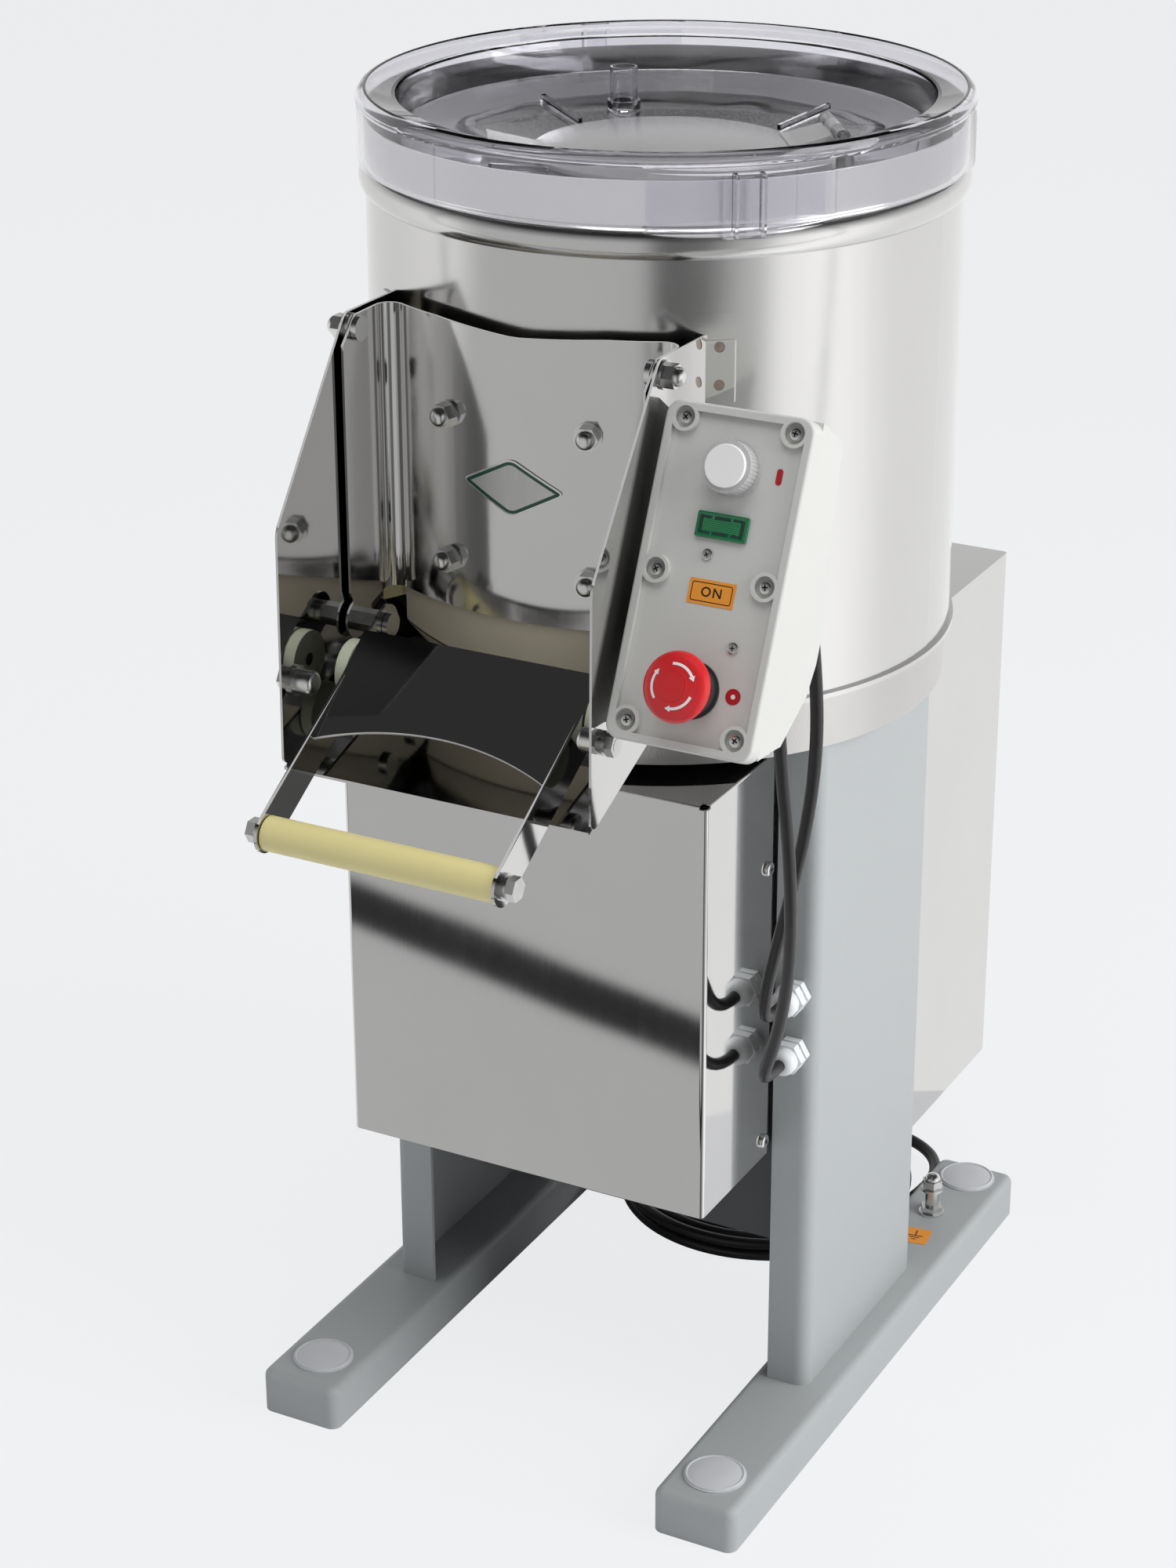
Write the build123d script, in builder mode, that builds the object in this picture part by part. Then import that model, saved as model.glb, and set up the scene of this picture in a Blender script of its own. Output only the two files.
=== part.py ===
from build123d import *
import math
import os

os.makedirs("parts", exist_ok=True)

# ---------------------------------------------------------------------------
# Electric potato peeler. Millimetres, +Z up, the front is -Y, +X to the right
# of someone who stands in front. The origin is the drum's axis on the floor.
# ---------------------------------------------------------------------------

# Clearances between pieces
RUN = 0.05            # radial gap of a running fit
SLIP = 0.3            # gap between pieces that move past one another
SEAT = 0.5            # gap where a part is set into a pocket

# Overall: half the width over the uprights, their top, and the drum
UPRIGHT_OUT = 155.2
UPRIGHT_TOP = 487.0
DRUM_R = 182.0
DRUM_HEIGHT = 320.4
PAN_HEIGHT = 34.0
DRUM_BOTTOM = UPRIGHT_TOP + PAN_HEIGHT
DRUM_TOP = DRUM_BOTTOM + DRUM_HEIGHT


def ahead(reach, rise):
    """A point seen from the side: how far in front of the drum, and above its foot."""
    return (-DRUM_R - reach, DRUM_BOTTOM + rise)


# Floor rails
RAIL_WIDTH = 57.0
RAIL_HEIGHT = 30.8
RAIL_LENGTH = 471.0
RAIL_X = UPRIGHT_OUT - 10.2
RAIL_Y = -5.1
RAIL_ROUND = 7.0
RAIL_WALL = 4.0
ANCHOR_SPAN = 416.8
ANCHOR_HOLE_R = 5.5
ANCHOR_HEAD_R = 16.0
ANCHOR_BOSS_R = 20.0
ANCHOR_SEAT = 8.0
CAP_R = 20.0
CAP_RISE = 3.4
CAP_SKIRT = 6.0
EARTH_STUD_Y = 152.0
EARTH_STUD_R = 4.8
EARTH_STUD_HEIGHT = 19.0

# Uprights
SHEET_FRAME = 3.0
UPRIGHT_WIDTH = 28.1
UPRIGHT_IN = UPRIGHT_OUT - UPRIGHT_WIDTH
UPRIGHT_FRONT = -93.5
UPRIGHT_BACK = 81.4
UPRIGHT_BEND = 9.0

# Front plate between the uprights, and the two covers
PLATE_THICK = 2.0
PLATE_BOTTOM = 135.0
PLATE_TOP = UPRIGHT_TOP - 9.0
COVER_SHEET = 1.5
COVER_HALF = UPRIGHT_IN - 1.8
COVER_BEND = 3.0
FRONT_COVER_FRONT = -190.5
FRONT_COVER_BOTTOM = 202.0
FRONT_COVER_TOP = UPRIGHT_TOP - 7.0
REAR_COVER_BACK = 283.0
REAR_COVER_BOTTOM = 98.0
REAR_COVER_TOP = UPRIGHT_TOP - 0.5
NOTCH = 5.0
LIP_WIDTH = 14.0
LIP_REACH = 25.0
SCREW_R = 2.5
FRONT_SCREW_LEVELS = (FRONT_COVER_BOTTOM + 12.0, FRONT_COVER_TOP - 75.0)
REAR_SCREW_LEVELS = (REAR_COVER_BOTTOM + 32.0, REAR_COVER_BOTTOM + 202.0, REAR_COVER_TOP - 36.5)
SCREW_SETBACK = 10.5
VENT_COUNT = 7
VENT_PITCH = 16.0
VENT_WIDTH = 120.0
VENT_LEVEL = REAR_COVER_BOTTOM + 52.0

# Drum, pan and what turns in them
DRUM_WALL = 1.5
DRUM_FOOT_R = DRUM_R + 2.5
BEAD_LEVEL = DRUM_TOP - 36.4
BEAD_HALF = 9.0
BEAD_RISE = 4.2
PAN_R = DRUM_R - 3.0
PAN_WALL = 3.0
PAN_FLOOR = 4.0
HUB_R = 32.0
HUB_TOP = UPRIGHT_TOP + 20.0
SEAL_R = 20.0
SPINDLE_R = 12.5
DISC_R = PAN_R - PAN_WALL - 2.0
DISC_THICK = 12.0
DISC_TOP = DRUM_BOTTOM + 25.0
DISC_WAVES = 3
WAVE_RISE = 6.0
LINING_R = DRUM_R - 10.0
LINING_BOTTOM = DISC_TOP + 7.0
LINING_TOP = BEAD_LEVEL - 5.0
SPOUT_R = 25.0
SPOUT_Y = -142.0
SPOUT_BOTTOM = UPRIGHT_TOP - 62.0
SPOUT_WALL = 2.0

# Spindle housing
HOUSING_BOTTOM = UPRIGHT_TOP - 197.0
HOUSING_FLANGE_R = 60.0
HOUSING_FLANGE = 10.0
BEARING_R = 26.0
HOUSING_R = BEARING_R + 8.0
BEARING_WIDTH = 15.0
HOUSING_BOLT_CIRCLE = 47.0

# Belt drive
MOTOR_Y = 185.0
MOTOR_R = 66.0
MOTOR_HEIGHT = 175.0
MOTOR_FLANGE = 10.0
MOTOR_BOLT_SPAN = 2 * MOTOR_R - 24.0
MOTOR_PLATE_LEVEL = 262.0
MOTOR_PLATE = 6.0
MOTOR_SHAFT_R = 7.0
PULLEY_R = 75.0
MOTOR_PULLEY_R = 25.0
PULLEY_FLANGE = 8.5
BELT_LEVEL = MOTOR_PLATE_LEVEL - 22.0
SPINDLE_BOTTOM = BELT_LEVEL - 18.0
BELT_WIDTH = 10.0
BELT_THICK = 7.0
PULLEY_CHEEK = 4.0

# Discharge chute
CHUTE_IN = 101.0
CHUTE_SHEET = 1.5
CHUTE_FRONT, CHUTE_FRONT_LEVEL = ahead(110.5, -20.6)
CHUTE_SLOPE = 0.431
CHUTE_NOSE = ahead(107.9, 124.1)
CHUTE_KNEE = ahead(26.9, 233.0)
CHUTE_BACK, CHUTE_BACK_TOP = ahead(-36.0, 231.6)
TAB_OUT = CHUTE_IN + 15.0
TAB_HEIGHT = 36.3
TAB_LEVELS = (DRUM_BOTTOM + 55.0, DRUM_BOTTOM + 119.0, DRUM_BOTTOM + 191.7)

# Door of the drum
DOOR_PIVOT = ahead(22.0, 223.0)
DOOR_PIVOT_HEAD_R = 7.5
DOOR_PIVOT_HEAD = 3.5
DOOR_STAND = 9.5      # how far the door's sheet stands off the drum
DOOR_BOTTOM = DRUM_BOTTOM + 55.0
DOOR_TOP = DRUM_BOTTOM + 231.0
DOOR_DIP = 3.6
DOOR_DIP_HALF = 55.0
DOOR_HALF = CHUTE_IN - 2.5
DOOR_BEND = 8.0
DOOR_NOSE, DOOR_NOSE_BOTTOM = ahead(37.0, 64.0)
DOOR_CHAMFER = 15.0
LINER_HALF = DOOR_HALF - 10.0
LINER_TOP = DRUM_BOTTOM + 207.0
LINER_GAP = 0.9
LINER_SIDE_GAP = 1.5
LINER_TOP_GAP = 2.0
LINER_SINK = 3.5
DOOR_NUT_X = 46.0
DOOR_NUT_LEVELS = (DRUM_BOTTOM + 85.0, DRUM_BOTTOM + 174.0)

# Locking lever
LEVER_PIVOT = ahead(30.0, 46.0)
GRIP_AXIS = ahead(167.4, -34.8)
LEVER_HALF = DOOR_HALF - 20.0
LEVER_SHEET = 2.0
LEVER_EAR_R = 12.0
LEVER_REAR = ahead(52.4, 49.7)
LEVER_FRONT = ahead(116.8, 4.7)
LEVER_CROWN = 17.0
GRIP_R = 10.5
GRIP_BOLT_R = 4.0
ROLLER_AXIS = ahead(57.0, 26.0)
ROLLER_R = 17.5
ROLLER_WIDTH = 7.5
STOP_AXIS = ahead(94.0, 28.5)
STOP_R = 7.5
PIVOT_BOLT_R = 4.0

# Lid and its loading flap
LID_R = DRUM_R + 5.0
LID_WALL = 3.0
LID_BOTTOM = DRUM_TOP - 25.9
LID_SHOULDER = DRUM_TOP + 7.6
LID_CREST_R = LID_R - 6.0
LID_CREST = DRUM_TOP + 16.1
RECESS_TOP_R = LID_R - 24.0
RECESS_TOP = DRUM_TOP + 11.1
RECESS_R = LID_R - 27.0
RECESS_LEVEL = DRUM_TOP - 11.4
FLOOR_R = 84.0
FLOOR_LEVEL = DRUM_TOP - 26.9
THROAT_R = FLOOR_R - 9.0
RIB_COUNT = 4
RIB_START = 64.0
RIB_HEIGHT = 3.0
FLAP_R = FLOOR_R - 3.0
FLAP_THICK = 2.5
FLAP_DOME = 7.0
HINGE_ANGLE = 36.0
HINGE_R = FLOOR_R + 20.0
HINGE_RISE = 6.5
KNUCKLE_R = 4.6
KNUCKLE_LENGTH = 17.0
FLAP_PIN_R = 2.0
TAB_ANGLE = 212.0
INLET_POSITION = (-71.0, 82.0)
INLET_R = 8.75
INLET_WALL = 1.75
INLET_HEIGHT = 24.0
BULGE_START = -68.0
BULGE_END = -32.0
BULGE_RISE = 11.0
BULGE_TOP = DRUM_TOP + 8.6
KEY_WIDTH = 18.0
KEY_DEPTH = 9.0

# Control box: a slanted plane carries everything on it
BOX_CORNER = (CHUTE_IN + 7.0, *ahead(107.0, 38.9))
BOX_LEAN = 24.7
BOX_WIDTH = 90.0
BOX_LENGTH = 191.0
BOX_ROUND = 9.0
BOX_LID = 13.0
BOX_RIM = 5.0
PANEL_DEPTH = 3.0
BOX_SPLIT = 93.0
BOX_TOP_DEPTH = 46.0
BOX_MID_DEPTH = 60.5
BOX_LOW_DEPTH = 69.0
LID_SCREW_SPAN_X = 66.5
LID_SCREW_SPAN_Y = 85.2
LID_SCREW_Y = 96.7
BUTTON_POS = (46.0, 157.7)
BEZEL_R = 14.8
BUTTON_R = 12.2
BUTTON_HOLE_R = 11.0
BEZEL_HEIGHT = 12.0
BUTTON_PROUD = 2.0
LENS_POS = (46.0, 125.3)
LENS_SIZE = (31.0, 14.5)
ESTOP_POS = (46.9, 34.4)
ESTOP_R = 20.0
ESTOP_STEM_R = 8.0
ESTOP_COLLAR_R = 14.8
FACE_SCREWS = ((40.0, 109.0), (66.0, 60.9))
BUTTON_TRAVEL = 4.0
ESTOP_TRAVEL = 5.0

# Cables
GLAND_X = UPRIGHT_OUT - 14.2
GLAND_LEVELS = (318.2, 277.5)
GLAND_HEX = 19.0
GLAND_LENGTH = 22.0
CONTROL_CABLE_R = 3.9
MAINS_R = 4.25
COIL_Y = 175.0
COIL_IN = 80.0
COIL_OUT = 108.0
COIL_HEIGHT = 20.0
MAINS_GLAND = (12.0, 258.0)


def save(piece, name):
    """Names a finished piece and writes it."""
    piece.label = name
    export_step(piece, f"parts/{name}.step")


def save_group(pieces, name):
    """Writes several equal solids as one named group."""
    save(Compound(children=pieces), name)


def turned(plane, steps):
    """Discs along the plane's normal, each given as radius, start and end."""
    with BuildPart() as stack:
        for radius, start, end in steps:
            with BuildSketch(plane.offset(start)):
                Circle(radius)
            extrude(amount=end - start)
    return stack.part


def hexed(plane, across_flats, start, end):
    """A hexagonal prism along the plane's normal."""
    with BuildPart() as prism:
        with BuildSketch(plane.offset(start)):
            RegularPolygon(across_flats / 2, 6, major_radius=False)
        extrude(amount=end - start)
    return prism.part


def domed_nut(plane, start, bolt_r):
    """Washer, hexagon and dome of a cap nut that sits at start on the plane's normal."""
    across = 3.25 * bolt_r
    washer = turned(plane, [(2.1 * bolt_r, start, start + 1.6)])
    nut = hexed(plane, across, start + 1.6, start + 1.6 + 1.6 * bolt_r)
    dome_base = plane.offset(start + 1.6 + 1.6 * bolt_r)
    with BuildPart() as dome:
        with BuildSketch(dome_base):
            Circle(across * 0.44)
        extrude(amount=1.2 * bolt_r)
        fillet(dome.faces().sort_by(Axis(plane.origin, plane.z_dir))[-1].edges(), bolt_r * 1.1)
    return washer + nut + dome.part


def pan_screw(plane, radius, length):
    """A screw with a low domed head on the plane, its shank going down into it."""
    with BuildPart() as screw:
        with BuildSketch(plane):
            Circle(radius * 2)
        extrude(amount=radius * 1.1)
        fillet(screw.faces().sort_by(Axis(plane.origin, plane.z_dir))[-1].edges(), radius * 0.7)
        with BuildSketch(plane):
            Circle(radius)
        extrude(amount=-length)
    return screw.part


def side_plane(side, x, centre):
    """A plane across X at side*x, through a (y, z) centre, that looks outwards."""
    return Plane(origin=(side * x, centre[0], centre[1]), x_dir=(0, 1, 0), z_dir=(side, 0, 0))


def radial_plane(angle):
    """The upright plane through the drum's axis at an angle, with X outwards and Y up."""
    turn = math.radians(angle)
    return Plane(origin=(0, 0, 0), x_dir=(math.cos(turn), math.sin(turn), 0),
                 z_dir=(math.sin(turn), -math.cos(turn), 0))


def dome_level(radius, rise, reach):
    """Height at a radius of a dome that rises by `rise` over its rim's radius `reach`."""
    ball = (reach ** 2 + rise ** 2) / (2 * rise)
    return math.sqrt(ball ** 2 - radius ** 2) - ball + rise


def tray_level(y):
    """Height of the chute floor's upper face at a given y."""
    return CHUTE_FRONT_LEVEL + CHUTE_SLOPE * (y - CHUTE_FRONT)


# ---------------------------------------------------------------------------
# Frame
# ---------------------------------------------------------------------------

def rail(side, name):
    """A floor rail: a cast tray, open below, with a bored boss near each end."""
    with BuildPart() as beam:
        with BuildSketch():
            with Locations((side * RAIL_X, RAIL_Y)):
                RectangleRounded(RAIL_WIDTH, RAIL_LENGTH, RAIL_ROUND)
        extrude(amount=RAIL_HEIGHT)
        fillet(beam.faces().sort_by(Axis.Z)[-1].edges(), RAIL_ROUND * 0.8)
        with BuildSketch():
            with Locations((side * RAIL_X, RAIL_Y)):
                RectangleRounded(RAIL_WIDTH - 2 * RAIL_WALL, RAIL_LENGTH - 2 * RAIL_WALL,
                                 RAIL_ROUND - RAIL_WALL)
        extrude(amount=RAIL_HEIGHT - RAIL_WALL, mode=Mode.SUBTRACT)
        with BuildSketch():
            with Locations((side * RAIL_X, 0)):
                with GridLocations(0, ANCHOR_SPAN, 1, 2):
                    Circle(ANCHOR_BOSS_R)
            with Locations((side * RAIL_X, RAIL_Y)):
                with GridLocations(0, RAIL_LENGTH / 6, 1, 5):
                    Rectangle(RAIL_WIDTH - RAIL_WALL, RAIL_WALL)
        extrude(amount=RAIL_HEIGHT - RAIL_WALL / 2)
        with Locations((side * RAIL_X, 0, RAIL_HEIGHT)):
            with GridLocations(0, ANCHOR_SPAN, 1, 2):
                CounterBoreHole(ANCHOR_HOLE_R, ANCHOR_HEAD_R, RAIL_HEIGHT - ANCHOR_SEAT)
    save(beam.part, name)


def rail_caps():
    """Low domed plastic caps that plug the anchor holes of both rails."""
    with BuildPart() as cap:
        with BuildSketch(Plane.XZ):
            with BuildLine():
                Polyline((2, CAP_RISE), (0, CAP_RISE), (0, 0), (CAP_R, 0), (CAP_R, 1.0))
                ThreePointArc((CAP_R, 1.0), (CAP_R * 0.62, CAP_RISE * 0.82), (2, CAP_RISE))
            make_face()
        revolve(axis=Axis.Z)
        with BuildSketch():
            Circle(ANCHOR_HEAD_R - RUN)
            Circle(ANCHOR_HEAD_R - 2.0, mode=Mode.SUBTRACT)
        extrude(amount=-CAP_SKIRT)
    places = [Location((side * RAIL_X, end * ANCHOR_SPAN / 2, RAIL_HEIGHT))
              for side in (-1, 1) for end in (-1, 1)]
    save_group([place * cap.part for place in places], "rail_caps")


def upright(side, name):
    """A channel of bent sheet, open inwards, with the rear cover's screw strip on it."""
    depth = UPRIGHT_BACK - UPRIGHT_FRONT
    width = UPRIGHT_OUT - UPRIGHT_IN
    middle = (side * (UPRIGHT_OUT + UPRIGHT_IN) / 2, (UPRIGHT_BACK + UPRIGHT_FRONT) / 2)
    outer = -1 if side > 0 else 0
    height = UPRIGHT_TOP - RAIL_HEIGHT
    with BuildPart() as post:
        with BuildSketch(Plane.XY.offset(RAIL_HEIGHT)) as section:
            with Locations(middle):
                Rectangle(width, depth)
            fillet(section.vertices().group_by(Axis.X)[outer], UPRIGHT_BEND)
        extrude(amount=height)
        with BuildSketch(Plane.XY.offset(RAIL_HEIGHT)) as hollow:
            with Locations((middle[0] - side * SHEET_FRAME, middle[1])):
                Rectangle(width, depth - 2 * SHEET_FRAME)
            fillet(hollow.vertices().group_by(Axis.X)[outer], UPRIGHT_BEND - SHEET_FRAME)
        extrude(amount=height, mode=Mode.SUBTRACT)
        strip_x = side * (COVER_HALF - COVER_SHEET - PLATE_THICK / 2)
        strip_bottom = REAR_COVER_BOTTOM + LIP_WIDTH
        with BuildSketch(Plane.XY.offset(strip_bottom)):
            with Locations((strip_x, UPRIGHT_BACK - SHEET_FRAME - PLATE_THICK + LIP_REACH / 2)):
                Rectangle(PLATE_THICK, LIP_REACH)
            foot = LIP_WIDTH + PLATE_THICK
            with Locations((strip_x + side * (foot - PLATE_THICK) / 2,
                            UPRIGHT_BACK - SHEET_FRAME - PLATE_THICK / 2)):
                Rectangle(foot, PLATE_THICK)
        extrude(amount=REAR_COVER_TOP - LIP_WIDTH - strip_bottom)
        for level in REAR_SCREW_LEVELS:
            with BuildSketch(side_plane(side, COVER_HALF - COVER_SHEET,
                                        (UPRIGHT_BACK + SCREW_SETBACK, level))):
                Circle(SCREW_R + RUN)
            extrude(amount=-PLATE_THICK * 2, mode=Mode.SUBTRACT)
    save(post.part, name)


def front_plate():
    """The plate that ties the uprights, with angles to which the front cover is screwed."""
    back = UPRIGHT_FRONT + SHEET_FRAME
    half = UPRIGHT_OUT - UPRIGHT_BEND
    strip_x = COVER_HALF - COVER_SHEET - PLATE_THICK / 2
    strip_bottom = FRONT_COVER_BOTTOM + 4.0
    with BuildPart() as plate:
        with BuildSketch(Plane.XZ.offset(-back)):
            with Locations((0, (PLATE_BOTTOM + PLATE_TOP) / 2)):
                Rectangle(2 * half, PLATE_TOP - PLATE_BOTTOM)
        extrude(amount=-PLATE_THICK)
        with BuildSketch(Plane.XY.offset(strip_bottom)):
            for side in (-1, 1):
                with Locations((side * strip_x, back - LIP_REACH / 2)):
                    Rectangle(PLATE_THICK, LIP_REACH)
                with Locations((side * (strip_x - LIP_WIDTH / 2), back - PLATE_THICK / 2)):
                    Rectangle(LIP_WIDTH, PLATE_THICK)
        extrude(amount=PLATE_TOP - strip_bottom)
        for side in (-1, 1):
            for level in FRONT_SCREW_LEVELS:
                with BuildSketch(side_plane(side, COVER_HALF - COVER_SHEET,
                                            (UPRIGHT_FRONT - SCREW_SETBACK, level))):
                    Circle(SCREW_R + RUN)
                extrude(amount=-PLATE_THICK * 2, mode=Mode.SUBTRACT)
    save(plate.part, "front_plate")


def earth_stud():
    """The earthing bolt that stands on the right rail."""
    plane = Plane(origin=(RAIL_X - 4, EARTH_STUD_Y, RAIL_HEIGHT))
    base = turned(plane, [(9.0, 0, 1.6), (EARTH_STUD_R, 1.6, EARTH_STUD_HEIGHT)])
    nut = hexed(plane, 2.9 * EARTH_STUD_R, 1.6, 6.0)
    cap = domed_nut(plane, EARTH_STUD_HEIGHT, EARTH_STUD_R * 0.8)
    save(base + nut + cap, "earth_stud")


# ---------------------------------------------------------------------------
# Covers
# ---------------------------------------------------------------------------

def front_cover():
    """A mirror sheet box, open below and behind, with open corners at its top flange."""
    depth = UPRIGHT_FRONT - FRONT_COVER_FRONT
    centre_y = (UPRIGHT_FRONT + FRONT_COVER_FRONT) / 2
    height = FRONT_COVER_TOP - FRONT_COVER_BOTTOM
    with BuildPart() as cover:
        with BuildSketch(Plane.XY.offset(FRONT_COVER_BOTTOM)) as outline:
            with Locations((0, centre_y)):
                Rectangle(2 * COVER_HALF, depth)
            fillet(outline.vertices().group_by(Axis.Y)[0], COVER_BEND)
        extrude(amount=height)
        with BuildSketch(Plane.XY.offset(FRONT_COVER_BOTTOM)) as inside:
            with Locations((0, centre_y + COVER_SHEET)):
                Rectangle(2 * (COVER_HALF - COVER_SHEET), depth)
            fillet(inside.vertices().group_by(Axis.Y)[0], COVER_BEND - COVER_SHEET)
        extrude(amount=height - COVER_SHEET, mode=Mode.SUBTRACT)
        top = cover.faces().sort_by(Axis.Z)[-1]
        fillet(top.edges().filter_by(Axis.X).sort_by(Axis.Y)[0], COVER_SHEET * 0.9)
        with BuildSketch(Plane.XY.offset(FRONT_COVER_TOP)):
            with Locations((0, SPOUT_Y)):
                Circle(SPOUT_R + 4.0)
            for side in (-1, 1):
                with Locations((side * COVER_HALF, FRONT_COVER_FRONT)):
                    Rectangle(2 * NOTCH, 2 * NOTCH)
        extrude(amount=-COVER_SHEET * 1.5, mode=Mode.SUBTRACT)
        for side in (-1, 1):
            for level in FRONT_SCREW_LEVELS:
                with BuildSketch(side_plane(side, COVER_HALF,
                                            (UPRIGHT_FRONT - SCREW_SETBACK, level))):
                    Circle(SCREW_R + RUN)
                extrude(amount=-COVER_SHEET * 2, mode=Mode.SUBTRACT)
    save(cover.part, "front_cover")


def rear_cover():
    """The motor's cover: a sheet box, open at the front, with slots for cooling air."""
    depth = REAR_COVER_BACK - UPRIGHT_BACK
    centre_y = (UPRIGHT_BACK + REAR_COVER_BACK) / 2
    height = REAR_COVER_TOP - REAR_COVER_BOTTOM
    with BuildPart() as cover:
        with BuildSketch(Plane.XY.offset(REAR_COVER_BOTTOM)) as outline:
            with Locations((0, centre_y)):
                Rectangle(2 * COVER_HALF, depth)
            fillet(outline.vertices().group_by(Axis.Y)[-1], COVER_BEND)
        extrude(amount=height)
        with BuildSketch(Plane.XY.offset(REAR_COVER_BOTTOM + COVER_SHEET)) as inside:
            with Locations((0, centre_y - COVER_SHEET)):
                Rectangle(2 * (COVER_HALF - COVER_SHEET), depth)
            fillet(inside.vertices().group_by(Axis.Y)[-1], COVER_BEND - COVER_SHEET)
        extrude(amount=height - 2 * COVER_SHEET, mode=Mode.SUBTRACT)
        with BuildSketch(Plane.XZ.offset(-REAR_COVER_BACK)):
            with Locations((0, VENT_LEVEL + VENT_PITCH * VENT_COUNT / 2)):
                with GridLocations(0, VENT_PITCH, 1, VENT_COUNT):
                    SlotOverall(VENT_WIDTH, 5.0)
        extrude(amount=COVER_SHEET * 2, both=True, mode=Mode.SUBTRACT)
        with BuildSketch(Plane.XY.offset(REAR_COVER_BOTTOM)):
            with Locations(MAINS_GLAND):
                Circle(8.0)
        extrude(amount=COVER_SHEET * 2, mode=Mode.SUBTRACT)
        for side in (-1, 1):
            for level in REAR_SCREW_LEVELS:
                with BuildSketch(side_plane(side, COVER_HALF,
                                            (UPRIGHT_BACK + SCREW_SETBACK, level))):
                    Circle(SCREW_R + RUN)
                extrude(amount=-COVER_SHEET * 2, mode=Mode.SUBTRACT)
    save(cover.part, "rear_cover")


def cover_screws():
    """Pan head screws along the sides of both covers."""
    screws = []
    for side in (-1, 1):
        for level in FRONT_SCREW_LEVELS:
            plane = side_plane(side, COVER_HALF, (UPRIGHT_FRONT - SCREW_SETBACK, level))
            screws.append(pan_screw(plane, SCREW_R, COVER_SHEET + PLATE_THICK + 4.0))
        for level in REAR_SCREW_LEVELS:
            plane = side_plane(side, COVER_HALF, (UPRIGHT_BACK + SCREW_SETBACK, level))
            screws.append(pan_screw(plane, SCREW_R, COVER_SHEET + PLATE_THICK + 4.0))
    save_group(screws, "cover_screws")


# ---------------------------------------------------------------------------
# Drum
# ---------------------------------------------------------------------------

def chute_prism(half_width, bottom_gap, top_level):
    """The straight way through the drum's wall, from the chute's floor up."""
    back, front = -DRUM_R / 2, -DRUM_R - 12.0
    with BuildPart() as prism:
        with BuildSketch(Plane.YZ):
            with BuildLine():
                Polyline((front, tray_level(front) + bottom_gap), (front, top_level),
                         (back, top_level), (back, tray_level(back) + bottom_gap), close=True)
            make_face()
        extrude(amount=half_width, both=True)
    return prism.part


def drum_shell():
    """The drum's wall, with a foot that sits on the pan and a bead that carries the lid."""
    inner = DRUM_R - DRUM_WALL
    crest = DRUM_R + BEAD_RISE
    low, high = BEAD_LEVEL - BEAD_HALF, BEAD_LEVEL + BEAD_HALF
    opening = chute_prism(LINER_HALF + LINER_SIDE_GAP, 0, LINER_TOP + LINER_TOP_GAP)
    with BuildPart() as shell:
        with BuildSketch(Plane.XZ):
            with BuildLine():
                Polyline((inner, DRUM_TOP), (inner, DRUM_BOTTOM + DRUM_WALL),
                         (PAN_R - PAN_WALL, DRUM_BOTTOM + DRUM_WALL),
                         (PAN_R - PAN_WALL, DRUM_BOTTOM), (DRUM_FOOT_R, DRUM_BOTTOM),
                         (DRUM_FOOT_R, DRUM_BOTTOM + 2 * DRUM_WALL),
                         (DRUM_R, DRUM_BOTTOM + 2 * DRUM_WALL), (DRUM_R, low))
                ThreePointArc((DRUM_R, low), (crest, BEAD_LEVEL), (DRUM_R, high))
                Polyline((DRUM_R, high), (DRUM_R, DRUM_TOP), (inner, DRUM_TOP))
            make_face()
        revolve(axis=Axis.Z)
        add(opening, mode=Mode.SUBTRACT)
    save(shell.part, "drum_shell")


def base_pan():
    """The cast pan under the drum, with the spindle's hub and the waste hole."""
    with BuildPart() as pan:
        with BuildSketch(Plane.XY.offset(UPRIGHT_TOP)):
            Circle(PAN_R)
        extrude(amount=DRUM_BOTTOM - UPRIGHT_TOP)
        with BuildSketch(Plane.XY.offset(UPRIGHT_TOP + PAN_FLOOR)):
            Circle(PAN_R - PAN_WALL)
        extrude(amount=DRUM_BOTTOM - UPRIGHT_TOP, mode=Mode.SUBTRACT)
        with BuildSketch(Plane.XY.offset(UPRIGHT_TOP)):
            Circle(HUB_R)
            with PolarLocations(0, 6, 30):
                with Locations((PAN_R / 2, 0)):
                    Rectangle(PAN_R - 2 * PAN_WALL, PAN_WALL)
        extrude(amount=PAN_FLOOR + 5.0)
        with BuildSketch(Plane.XY.offset(UPRIGHT_TOP)):
            Circle(HUB_R)
        extrude(amount=HUB_TOP - UPRIGHT_TOP)
        with BuildSketch(Plane.XY.offset(UPRIGHT_TOP)):
            with Locations((0, SPOUT_Y)):
                Circle(SPOUT_R)
            Circle(SEAL_R)
        extrude(amount=HUB_TOP, mode=Mode.SUBTRACT)
    save(pan.part, "base_pan")


def drain_spout():
    """The waste outlet: a flanged pipe under the pan that takes a 50 mm hose."""
    with BuildPart() as spout:
        with BuildSketch(Plane.XY.offset(SPOUT_BOTTOM)):
            with Locations((0, SPOUT_Y)):
                Circle(SPOUT_R)
        extrude(amount=UPRIGHT_TOP - SPOUT_BOTTOM)
        with BuildSketch(Plane.XY.offset(UPRIGHT_TOP - PAN_WALL)):
            with Locations((0, SPOUT_Y)):
                Circle(SPOUT_R + 3.5)
        extrude(amount=PAN_WALL)
        with BuildSketch(Plane.XY.offset(SPOUT_BOTTOM)):
            with Locations((0, SPOUT_Y)):
                Circle(SPOUT_R - SPOUT_WALL)
        extrude(amount=UPRIGHT_TOP - SPOUT_BOTTOM, mode=Mode.SUBTRACT)
    save(spout.part, "drain_spout")


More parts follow.
